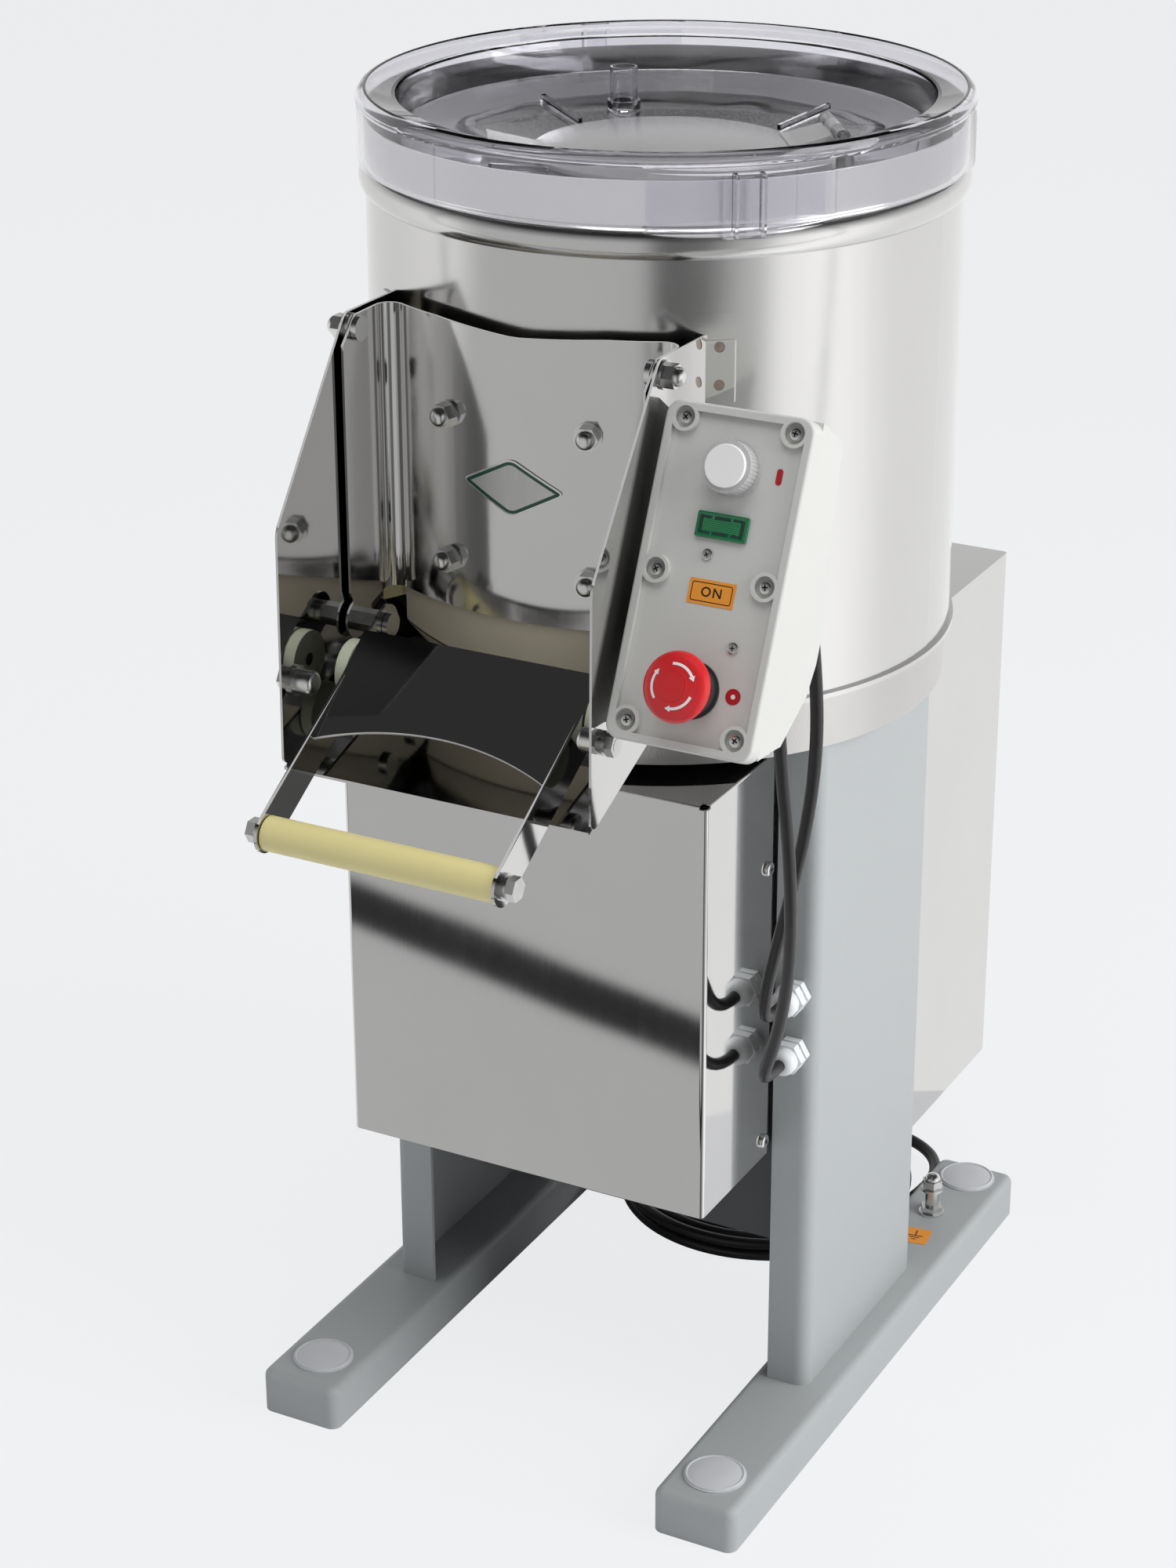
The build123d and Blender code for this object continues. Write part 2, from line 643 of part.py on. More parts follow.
def abrasive_lining():
    """The rough lining inside the drum, cut away where the door's liner closes it."""
    opening = chute_prism(LINER_HALF + LINER_SIDE_GAP, -20.0, LINER_TOP + LINER_TOP_GAP)
    with BuildPart() as lining:
        with BuildSketch(Plane.XY.offset(LINING_BOTTOM)):
            Circle(DRUM_R - DRUM_WALL - 0.1)
            Circle(LINING_R, mode=Mode.SUBTRACT)
        extrude(amount=LINING_TOP - LINING_BOTTOM)
        add(opening, mode=Mode.SUBTRACT)
        with BuildSketch(Plane.YZ):
            with BuildLine():
                low = LINING_BOTTOM - 1.0
                back, front = 42.0 - DRUM_R, -DRUM_R - 18.0
                high = tray_level(back) + LINER_GAP
                Polyline((back, low), (back, high), (front, high), (front, low), close=True)
            make_face()
        extrude(amount=CHUTE_IN + 3.0, both=True, mode=Mode.SUBTRACT)
    save(lining.part, "abrasive_lining")


# ---------------------------------------------------------------------------
# Spindle, disc and drive
# ---------------------------------------------------------------------------

def bearings():
    """Two sealed ball bearings, each with a sunk seal between its rings."""
    ring = (BEARING_R - SPINDLE_R) / 3
    bore = SPINDLE_R + RUN
    with BuildPart() as race:
        with BuildSketch():
            Circle(BEARING_R)
            Circle(bore, mode=Mode.SUBTRACT)
        extrude(amount=BEARING_WIDTH)
        for level, way in ((0, 1), (BEARING_WIDTH, -1)):
            with BuildSketch(Plane.XY.offset(level)):
                Circle(BEARING_R - ring)
                Circle(bore + ring, mode=Mode.SUBTRACT)
            extrude(amount=way * 1.0, mode=Mode.SUBTRACT)
    levels = (HOUSING_BOTTOM, UPRIGHT_TOP - BEARING_WIDTH)
    save_group([Location((0, 0, level)) * race.part for level in levels], "bearings")


def bearing_housing():
    """The flanged tube under the pan that holds the spindle's two bearings."""
    bottom, top = HOUSING_BOTTOM, UPRIGHT_TOP
    with BuildPart() as housing:
        with BuildSketch(Plane.XY.offset(bottom)):
            Circle(HOUSING_R)
        extrude(amount=top - bottom)
        with BuildSketch(Plane.XY.offset(top - HOUSING_FLANGE)):
            Circle(HOUSING_FLANGE_R)
        extrude(amount=HOUSING_FLANGE)
        with BuildSketch(Plane.XY.offset(bottom)):
            Circle(HOUSING_R - 12.0)
        extrude(amount=top - bottom, mode=Mode.SUBTRACT)
        for level in (bottom, top - BEARING_WIDTH):
            with BuildSketch(Plane.XY.offset(level)):
                Circle(BEARING_R)
            extrude(amount=BEARING_WIDTH, mode=Mode.SUBTRACT)
        with Locations((0, 0, top)):
            with PolarLocations(HOUSING_BOLT_CIRCLE, 4, 45):
                Hole(4.05)
    save(housing.part, "bearing_housing")


def machine_bolts():
    """Bolts that hold the bearing housing to the pan and the motor to its shelf."""
    bolts = []
    for place in PolarLocations(HOUSING_BOLT_CIRCLE, 4, 45):
        spot = place.position
        plane = Plane(origin=(spot.X, spot.Y, UPRIGHT_TOP - HOUSING_FLANGE), z_dir=(0, 0, -1))
        bolts.append(turned(plane, [(4.0, -HOUSING_FLANGE, 0)]) + hexed(plane, 13.0, 0, 5.5))
    top = MOTOR_PLATE_LEVEL + MOTOR_PLATE + MOTOR_FLANGE
    for place in GridLocations(MOTOR_BOLT_SPAN, MOTOR_BOLT_SPAN, 2, 2):
        spot = place.position
        plane = Plane(origin=(spot.X, MOTOR_Y + spot.Y, top))
        bolts.append(turned(plane, [(4.0, -MOTOR_FLANGE, 0)]) + hexed(plane, 13.0, 0, 5.5))
    save_group(bolts, "machine_bolts")


def shaft_seal():
    """The lip seal that keeps water in the pan off the bearings."""
    with BuildPart() as seal:
        with BuildSketch(Plane.XY.offset(HUB_TOP - 10.0)):
            Circle(SEAL_R)
            Circle(SPINDLE_R + RUN, mode=Mode.SUBTRACT)
        extrude(amount=10.0)
    save(seal.part, "shaft_seal")


def spindle():
    """The vertical shaft, stepped at its top for the disc and below for the pulley."""
    steps = [(SPINDLE_R, SPINDLE_BOTTOM, DISC_TOP - DISC_THICK),
             (8.0, DISC_TOP - DISC_THICK, DISC_TOP + 4.0)]
    save(turned(Plane.XY, steps), "spindle")


def abrasive_disc():
    """The turning disc: a plate with a hub and smooth waves that toss the load."""
    seat = DISC_TOP - DISC_THICK
    rim = DISC_TOP - WAVE_RISE
    with BuildPart() as disc:
        with BuildSketch(Plane.XY.offset(seat)):
            Circle(DISC_R)
        extrude(amount=DISC_THICK - WAVE_RISE)
        with BuildSketch(Plane.XY.offset(HUB_TOP + 4.0)):
            Circle(HUB_R)
        extrude(amount=seat - HUB_TOP - 4.0)
        with BuildSketch(Plane.XY.offset(HUB_TOP + 4.0)):
            Circle(SPINDLE_R + SLIP)
        extrude(amount=seat - HUB_TOP - 4.0, mode=Mode.SUBTRACT)
        for k in range(DISC_WAVES):
            radial = Plane.XY.rotated((0, 0, k * 360 / DISC_WAVES))
            section = Plane(origin=radial.x_dir * 40.0 + Vector(0, 0, rim - 1.0),
                            x_dir=radial.y_dir, z_dir=radial.x_dir)
            with BuildSketch(section):
                with BuildLine():
                    Line((-34, 0), (34, 0))
                    ThreePointArc((34, 0), (0, WAVE_RISE + 1.0), (-34, 0))
                make_face()
            extrude(amount=DISC_R - 46.0)
        with BuildSketch(Plane.XY.offset(seat)):
            Circle(8.0)
        extrude(amount=DISC_THICK, mode=Mode.SUBTRACT)
    save(disc.part, "abrasive_disc")


def disc_nut():
    """The domed nut that holds the disc down on the spindle."""
    with BuildPart() as nut:
        with BuildSketch(Plane.XY.offset(DISC_TOP - WAVE_RISE)):
            Circle(20.0)
        extrude(amount=22.0)
        fillet(nut.faces().sort_by(Axis.Z)[-1].edges(), 12.0)
        with BuildSketch(Plane.XY.offset(DISC_TOP - WAVE_RISE)):
            Circle(8.0)
        extrude(amount=WAVE_RISE + 4.0, mode=Mode.SUBTRACT)
    save(nut.part, "disc_nut")


def pulley(position, radius, shaft_r, name):
    """A pulley with a groove for the belt, lightened when it is large."""
    bottom = BELT_LEVEL - PULLEY_CHEEK
    width = BELT_WIDTH + 2 * PULLEY_CHEEK
    plane = Plane(origin=(position[0], position[1], bottom))
    with BuildPart() as wheel:
        with BuildSketch(plane):
            Circle(radius + PULLEY_FLANGE)
        extrude(amount=width)
        with BuildSketch(plane.offset(PULLEY_CHEEK)):
            Circle(radius + PULLEY_FLANGE + 1.0)
            Circle(radius, mode=Mode.SUBTRACT)
        extrude(amount=BELT_WIDTH, mode=Mode.SUBTRACT)
        with BuildSketch(plane):
            Circle(shaft_r)
            if radius > 3 * shaft_r + 20:
                with PolarLocations(radius * 0.58, 6):
                    Circle(radius * 0.17)
        extrude(amount=width, mode=Mode.SUBTRACT)
    save(wheel.part, name)


def drive_belt():
    """The belt round both pulleys, a hair clear of them."""
    with BuildPart() as belt:
        with BuildSketch(Plane.XY.offset(BELT_LEVEL + SLIP)):
            Circle(PULLEY_R + SLIP + BELT_THICK)
            with Locations((0, MOTOR_Y)):
                Circle(MOTOR_PULLEY_R + SLIP + BELT_THICK)
            make_hull()
        extrude(amount=BELT_WIDTH - 2 * SLIP)
        with BuildSketch(Plane.XY.offset(BELT_LEVEL + SLIP)):
            Circle(PULLEY_R + SLIP)
            with Locations((0, MOTOR_Y)):
                Circle(MOTOR_PULLEY_R + SLIP)
            make_hull()
        extrude(amount=BELT_WIDTH - 2 * SLIP, mode=Mode.SUBTRACT)
    save(belt.part, "drive_belt")


def motor_plate():
    """The shelf that carries the motor, welded into the uprights' channels."""
    wide = UPRIGHT_OUT - SHEET_FRAME
    narrow = COVER_HALF - COVER_SHEET - PLATE_THICK - 2.0
    front = HOUSING_R + 5.0
    flange = UPRIGHT_BACK - UPRIGHT_BEND
    with BuildPart() as shelf:
        with BuildSketch(Plane.XY.offset(MOTOR_PLATE_LEVEL)):
            with Locations((0, (front + flange) / 2)):
                Rectangle(2 * wide, flange - front)
            with Locations((0, (flange + MOTOR_Y + MOTOR_R + 10) / 2)):
                Rectangle(2 * narrow, MOTOR_Y + MOTOR_R + 10 - flange)
            with Locations((0, MOTOR_Y)):
                Circle(MOTOR_SHAFT_R + 8.0, mode=Mode.SUBTRACT)
        extrude(amount=MOTOR_PLATE)
    save(shelf.part, "motor_plate")


def motor_body():
    """The motor: flange, finned frame, fan cowl and terminal box."""
    base = MOTOR_PLATE_LEVEL + MOTOR_PLATE
    plane = Plane(origin=(0, MOTOR_Y, base))
    with BuildPart() as motor:
        with BuildSketch(plane):
            RectangleRounded(2 * MOTOR_R, 2 * MOTOR_R, 12.0)
        extrude(amount=MOTOR_FLANGE)
        with BuildSketch(plane):
            Circle(MOTOR_R - 6.0)
            with PolarLocations(MOTOR_R - 8.0, 20):
                Rectangle(12.0, 3.0)
        extrude(amount=MOTOR_HEIGHT * 0.72)
        with BuildSketch(plane.offset(MOTOR_HEIGHT * 0.72)):
            Circle(MOTOR_R)
        extrude(amount=MOTOR_HEIGHT * 0.28)
        fillet(motor.faces().sort_by(Axis.Z)[-1].edges(), 8.0)
        with BuildSketch(plane.offset(50.0)):
            with Locations((MOTOR_R + 6.0, 0)):
                RectangleRounded(40.0, 60.0, 4.0)
        extrude(amount=60.0)
        with BuildSketch(plane):
            Circle(MOTOR_SHAFT_R + RUN)
        extrude(amount=40.0, mode=Mode.SUBTRACT)
        with BuildSketch(plane):
            with GridLocations(MOTOR_BOLT_SPAN, MOTOR_BOLT_SPAN, 2, 2):
                Circle(4.0 + RUN)
        extrude(amount=MOTOR_FLANGE, mode=Mode.SUBTRACT)
    save(motor.part, "motor_body")


def motor_shaft():
    """The motor's shaft, which hangs down through the shelf to its pulley."""
    top = MOTOR_PLATE_LEVEL + MOTOR_PLATE + 39.0
    plane = Plane(origin=(0, MOTOR_Y, 0))
    bottom = BELT_LEVEL - PULLEY_CHEEK - 4.0
    save(turned(plane, [(MOTOR_SHAFT_R, bottom, top)]), "motor_shaft")


# ---------------------------------------------------------------------------
# Discharge chute
# ---------------------------------------------------------------------------

def chute_wall(side, name):
    """A side of the chute, with spot-welded tabs on the drum."""
    drop = CHUTE_SHEET / math.cos(math.atan(CHUTE_SLOPE))
    face = side * CHUTE_IN
    rear = -DRUM_R / 2
    with BuildPart() as wall:
        with BuildSketch(Plane.YZ.offset(face)) as outline:
            with BuildLine():
                Polyline((rear, CHUTE_BACK_TOP), (CHUTE_BACK, CHUTE_BACK_TOP), CHUTE_KNEE, CHUTE_NOSE,
                         (CHUTE_FRONT, CHUTE_FRONT_LEVEL - drop), (rear, tray_level(rear) - drop),
                         close=True)
            make_face()
            corner = (CHUTE_FRONT, CHUTE_FRONT_LEVEL - drop)
            for point, radius in ((CHUTE_KNEE, 9.0), (CHUTE_NOSE, 14.0), (corner, 5.0)):
                fillet(outline.vertices().sort_by_distance((*point, 0))[0], radius)
        extrude(amount=side * CHUTE_SHEET)
        for level in TAB_LEVELS:
            with BuildSketch(Plane.XY.offset(level)):
                Circle(DRUM_R + CHUTE_SHEET)
                with Locations((side * (CHUTE_IN + TAB_OUT) / 2, -DRUM_R)):
                    Rectangle(TAB_OUT - CHUTE_IN, 2 * DRUM_R, mode=Mode.INTERSECT)
            extrude(amount=TAB_HEIGHT)
        with BuildSketch(Plane.XY.offset(DRUM_BOTTOM)):
            Circle(DRUM_R)
        extrude(amount=DRUM_TOP - DRUM_BOTTOM, mode=Mode.SUBTRACT)
        for centre in (DOOR_PIVOT, STOP_AXIS):
            with BuildSketch(Plane.YZ.offset(face)):
                with Locations(centre):
                    Circle(PIVOT_BOLT_R + RUN)
            extrude(amount=side * CHUTE_SHEET, mode=Mode.SUBTRACT)
    save(wall.part, name)


def chute_tray():
    """The sloping floor of the chute, from the drum's wall to the mouth."""
    drop = CHUTE_SHEET / math.cos(math.atan(CHUTE_SLOPE))
    rear = -DRUM_R / 2
    with BuildPart() as tray:
        with BuildSketch(Plane.YZ):
            with BuildLine():
                Polyline((CHUTE_FRONT, CHUTE_FRONT_LEVEL), (rear, tray_level(rear)),
                         (rear, tray_level(rear) - drop), (CHUTE_FRONT, CHUTE_FRONT_LEVEL - drop),
                         close=True)
            make_face()
        extrude(amount=CHUTE_IN, both=True)
        with BuildSketch(Plane.XY.offset(DRUM_BOTTOM)):
            Circle(DRUM_R)
        extrude(amount=DRUM_HEIGHT, mode=Mode.SUBTRACT)
    save(tray.part, "chute_tray")


def stop_pins():
    """The pins on the chute's walls that the lever's rollers bear against."""
    pins = []
    tip = LEVER_HALF + 0.8 + ROLLER_WIDTH + 0.6
    for side in (-1, 1):
        inward = side_plane(-side, -CHUTE_IN, STOP_AXIS)
        reach = CHUTE_IN - tip
        with BuildPart() as pin:
            with BuildSketch(inward):
                Circle(STOP_R)
            extrude(amount=reach)
            fillet(pin.faces().sort_by(Axis.X)[-1 if side < 0 else 0].edges(), 3.0)
            with BuildSketch(inward):
                Circle(STOP_R + 1.8)
            extrude(amount=2.0)
            with BuildSketch(inward):
                Circle(PIVOT_BOLT_R)
            extrude(amount=-CHUTE_SHEET - 8.0)
        outer = side_plane(side, CHUTE_IN + CHUTE_SHEET, STOP_AXIS)
        washers = turned(outer, [(7.2, 0, 1.4), (6.4, 1.4, 2.8)])
        pins.append(pin.part + washers + hexed(outer, 12.5, 2.8, 7.8))
    save_group(pins, "stop_pins")


# ---------------------------------------------------------------------------
# Door
# ---------------------------------------------------------------------------

DOOR_OUTER = DRUM_R + DOOR_STAND + CHUTE_SHEET


def flipped(point):
    """The same point of a plan on the machine's other side."""
    return (-point[0], point[1])


def door_outline(radius):
    """Where the door's face at a radius from the drum's axis starts, halves and ends its bend."""
    centre_x = DOOR_HALF - CHUTE_SHEET - DOOR_BEND
    reach = DOOR_OUTER + DOOR_BEND
    centre_y = -math.sqrt(reach ** 2 - centre_x ** 2)
    lean = math.asin(centre_x / reach)
    half_turn = (math.pi / 2 + lean) / 2
    bend = reach - radius
    start = (radius * math.sin(lean), -radius * math.cos(lean))
    half = (centre_x + bend * math.cos(half_turn), centre_y + bend * math.sin(half_turn))
    return start, half, (centre_x + bend, centre_y)


def door_sheet():
    """The door: a curved sheet in front of the drum whose sides are bent forward into ears."""
    faces = (DOOR_OUTER, DOOR_OUTER - CHUTE_SHEET)
    outer_end, inner_end = [door_outline(radius)[2] for radius in faces]
    rear = outer_end[1]
    with BuildPart() as door:
        with BuildSketch(Plane.XY.offset(DOOR_BOTTOM)):
            with BuildLine():
                for radius in faces:
                    start, half, end = door_outline(radius)
                    ThreePointArc(flipped(start), (0, -radius), start)
                    ThreePointArc(start, half, end)
                    ThreePointArc(flipped(start), flipped(half), flipped(end))
                Line(outer_end, inner_end)
                Line(flipped(outer_end), flipped(inner_end))
            make_face()
        extrude(amount=DOOR_TOP - DOOR_BOTTOM)
        with BuildSketch(Plane.XZ):
            Polygon((-DOOR_DIP_HALF, DOOR_TOP), (-DOOR_DIP, DOOR_TOP - DOOR_DIP),
                    (DOOR_DIP, DOOR_TOP - DOOR_DIP), (DOOR_DIP_HALF, DOOR_TOP),
                    (0, DOOR_TOP + DOOR_DIP), align=None)
        extrude(amount=DOOR_OUTER + DOOR_BEND, mode=Mode.SUBTRACT)
        for side in (-1, 1):
            with BuildSketch(Plane.YZ.offset(side * DOOR_HALF)):
                with BuildLine():
                    Polyline((rear, DOOR_TOP), (DOOR_NOSE + DOOR_CHAMFER, DOOR_TOP),
                             (DOOR_NOSE, DOOR_TOP - DOOR_CHAMFER), (DOOR_NOSE, DOOR_NOSE_BOTTOM),
                             LEVER_PIVOT, (rear, DOOR_BOTTOM), close=True)
                make_face()
                with Locations(LEVER_PIVOT):
                    Circle(LEVER_EAR_R)
            extrude(amount=-side * CHUTE_SHEET)
            with BuildSketch(Plane.YZ.offset(side * DOOR_HALF)):
                with Locations(DOOR_PIVOT, LEVER_PIVOT):
                    Circle(PIVOT_BOLT_R + RUN)
            extrude(amount=-side * CHUTE_SHEET, mode=Mode.SUBTRACT)
        for plane in door_bolt_planes():
            with BuildSketch(plane):
                Circle(PIVOT_BOLT_R)
            extrude(amount=-3 * CHUTE_SHEET, mode=Mode.SUBTRACT)
    save(door.part, "door_sheet")


def door_bolt_planes():
    """Planes on the door's outer face, one for each bolt of the liner."""
    lean = math.asin(DOOR_NUT_X / DOOR_OUTER)
    planes = []
    for level in DOOR_NUT_LEVELS:
        for side in (-1, 1):
            outward = Vector(side * math.sin(lean), -math.cos(lean), 0)
            planes.append(Plane(origin=outward * DOOR_OUTER + Vector(0, 0, level), z_dir=outward))
    return planes


def door_liner():
    """The thick plastic liner behind the door, which fills the gap in the drum's wall."""
    foot = tray_level(-DOOR_OUTER) - 10
    with BuildPart() as liner:
        with BuildSketch(Plane.XY.offset(foot)):
            Circle(DOOR_OUTER - CHUTE_SHEET - RUN)
            Circle(LINING_R, mode=Mode.SUBTRACT)
            with Locations((0, -DOOR_OUTER / 2)):
                Rectangle(2 * LINER_HALF, DOOR_OUTER, mode=Mode.INTERSECT)
        extrude(amount=LINER_TOP - foot)
        with BuildSketch(Plane.YZ):
            with BuildLine():
                back, front = 62.0 - DRUM_R, -DOOR_OUTER - 10
                Polyline((front, tray_level(front) + LINER_GAP), (back, tray_level(back) + LINER_GAP),
                         (back, foot - 10), (front, foot - 10), close=True)
            make_face()
        extrude(amount=LINER_HALF + 5, both=True, mode=Mode.SUBTRACT)
        for plane in door_bolt_planes():
            with BuildSketch(plane):
                Circle(PIVOT_BOLT_R)
            extrude(amount=LINING_R - DOOR_OUTER - 5, mode=Mode.SUBTRACT)
            with BuildSketch(plane.offset(LINING_R + LINER_SINK - DOOR_OUTER)):
                Circle(2 * PIVOT_BOLT_R)
            extrude(amount=-LINER_SINK - 5, mode=Mode.SUBTRACT)
    save(liner.part, "door_liner")


def door_bolts():
    """Bolts through the door and its liner, with cap nuts outside."""
    seat = LINING_R + LINER_SINK - DOOR_OUTER
    bolts = []
    for plane in door_bolt_planes():
        shank = turned(plane, [(PIVOT_BOLT_R, seat, 0), (2 * PIVOT_BOLT_R, seat - LINER_SINK + SEAT, seat)])
        bolts.append(shank + domed_nut(plane, 0, PIVOT_BOLT_R))
    save_group(bolts, "door_bolts")


def door_pivots():
    """Carriage bolts on the chute's walls about which the door swings."""
    bolts = []
    for side in (-1, 1):
        head_in = DOOR_HALF - CHUTE_SHEET - SLIP
        plane = side_plane(side, 0, DOOR_PIVOT)
        shank = turned(plane, [(PIVOT_BOLT_R, head_in, CHUTE_IN + CHUTE_SHEET),
                               (DOOR_PIVOT_HEAD_R, head_in - DOOR_PIVOT_HEAD, head_in),
                               (DOOR_PIVOT_HEAD_R + 1.0, DOOR_HALF + SLIP, CHUTE_IN)])
        bolts.append(shank + domed_nut(plane, CHUTE_IN + CHUTE_SHEET, PIVOT_BOLT_R))
    save_group(bolts, "door_pivots")


# ---------------------------------------------------------------------------
# Lever
# ---------------------------------------------------------------------------

def lever():
    """The lever: a folded plate whose flanges run on as arms to the grip."""
    slope = Vector(LEVER_FRONT[0] - LEVER_REAR[0], LEVER_FRONT[1] - LEVER_REAR[1])
    length = slope.length
    run = slope.normalized()
    rise = Vector(-run.Y, run.X) * -1
    with BuildPart() as arm:
        plate_plane = Plane(origin=(0, LEVER_REAR[0], LEVER_REAR[1]),
                            x_dir=(1, 0, 0), z_dir=(0, rise.X, rise.Y))
        with BuildSketch(plate_plane):
            with BuildLine():
                half = LEVER_HALF - 0.5
                Polyline((-half, -length), (-half, 0), (half, 0), (half, -length))
                ThreePointArc((half, -length), (0, -length + LEVER_CROWN), (-half, -length))
            make_face()
        extrude(amount=-LEVER_SHEET)
        for side in (-1, 1):
            with BuildSketch(Plane.YZ.offset(side * LEVER_HALF)):
                with Locations(LEVER_PIVOT, GRIP_AXIS):
                    Circle(LEVER_EAR_R)
                make_hull()
                with BuildLine():
                    Polyline(LEVER_PIVOT, LEVER_REAR, LEVER_FRONT, GRIP_AXIS, close=True)
                make_face()
            extrude(amount=-side * LEVER_SHEET)
            with BuildSketch(Plane.YZ.offset(side * LEVER_HALF)):
                with Locations(LEVER_PIVOT, GRIP_AXIS, ROLLER_AXIS):
                    Circle(GRIP_BOLT_R + RUN)
            extrude(amount=-side * LEVER_SHEET, mode=Mode.SUBTRACT)
    save(arm.part, "lever")


def lever_pivots():
    """Bolts fixed to the door's ears about which the lever turns."""
    bolts = []
    for side in (-1, 1):
        plane = side_plane(side, 0, LEVER_PIVOT)
        inner = LEVER_HALF - LEVER_SHEET - SLIP
        ear = DOOR_HALF - CHUTE_SHEET
        shank = turned(plane, [(PIVOT_BOLT_R, inner, DOOR_HALF), (7.5, inner - 3.5, inner),
                               (7.0, LEVER_HALF + SLIP, LEVER_HALF + 4.0)])
        bolts.append(shank + hexed(plane, 12.5, LEVER_HALF + 4.0, ear))
    save_group(bolts, "lever_pivots")


def roller(side, name):
    """A plastic roller on the outside of the lever's flange."""
    plane = side_plane(side, LEVER_HALF + 0.8, ROLLER_AXIS)
    with BuildPart() as wheel:
        with BuildSketch(plane):
            Circle(ROLLER_R)
            Circle(GRIP_BOLT_R + RUN, mode=Mode.SUBTRACT)
        extrude(amount=ROLLER_WIDTH)
    save(wheel.part, name)


def grip():
    """The plastic tube between the arms."""
    with BuildPart() as tube:
        half = LEVER_HALF - LEVER_SHEET - SLIP
        with BuildSketch(Plane.YZ.offset(-half)):
            with Locations(GRIP_AXIS):
                Circle(GRIP_R)
                Circle(GRIP_BOLT_R + RUN, mode=Mode.SUBTRACT)
        extrude(amount=2 * half)
        fillet(tube.edges().filter_by(GeomType.CIRCLE).group_by(SortBy.RADIUS)[-1], 0.8)
    save(tube.part, "grip")


def lever_bolts():
    """The grip's long bolt with washers and heads outside, and the rollers' pins."""
    rod = turned(side_plane(1, 0, GRIP_AXIS), [(GRIP_BOLT_R, -LEVER_HALF, LEVER_HALF)])
    for side in (-1, 1):
        plane = side_plane(side, LEVER_HALF, GRIP_AXIS)
        rod += turned(plane, [(8.0, 0, 1.6), (6.8, 1.6, 3.6)]) + hexed(plane, 13.0, 3.6, 9.0)
    pieces = [rod]
    for side in (-1, 1):
        plane = side_plane(side, 0, ROLLER_AXIS)
        inner = LEVER_HALF - LEVER_SHEET
        pieces.append(turned(plane, [(GRIP_BOLT_R, inner, LEVER_HALF + 0.8 + ROLLER_WIDTH),
                                     (7.0, inner - 3.0, inner)]))
    save_group(pieces, "lever_bolts")


# ---------------------------------------------------------------------------
# Lid
# ---------------------------------------------------------------------------

def floor_level(r):
    """Height of the dished lid floor's upper face at a given radius."""
    return FLOOR_LEVEL + (r - FLOOR_R) * (RECESS_LEVEL - FLOOR_LEVEL) / (RECESS_R - FLOOR_R)


def hinge_plane():
    """Plane through the flap hinge: X along the hinge pin, Y towards the lid's middle."""
    angle = math.radians(HINGE_ANGLE)
    outward = Vector(math.cos(angle), math.sin(angle), 0)
    pin = Vector(-math.sin(angle), math.cos(angle), 0)
    origin = outward * HINGE_R + Vector(0, 0, floor_level(HINGE_R) + HINGE_RISE)
    return Plane(origin=origin, x_dir=pin, z_dir=Vector(0, 0, 1))


def knuckle(middle, length, foot):
    """A hinge knuckle on the flap's hinge axis, with a foot that reaches down if asked."""
    base = hinge_plane()
    start = base.origin + base.x_dir * (middle - length / 2)
    across = Plane(origin=start, x_dir=base.y_dir, z_dir=base.x_dir)
    with BuildPart() as barrel:
        with BuildSketch(across):
            Circle(KNUCKLE_R)
            if foot:
                with Locations((0, -(HINGE_RISE + 1.5) / 2)):
                    Rectangle(2 * KNUCKLE_R - 1.0, HINGE_RISE + 1.5)
        extrude(amount=length)
    return barrel.part


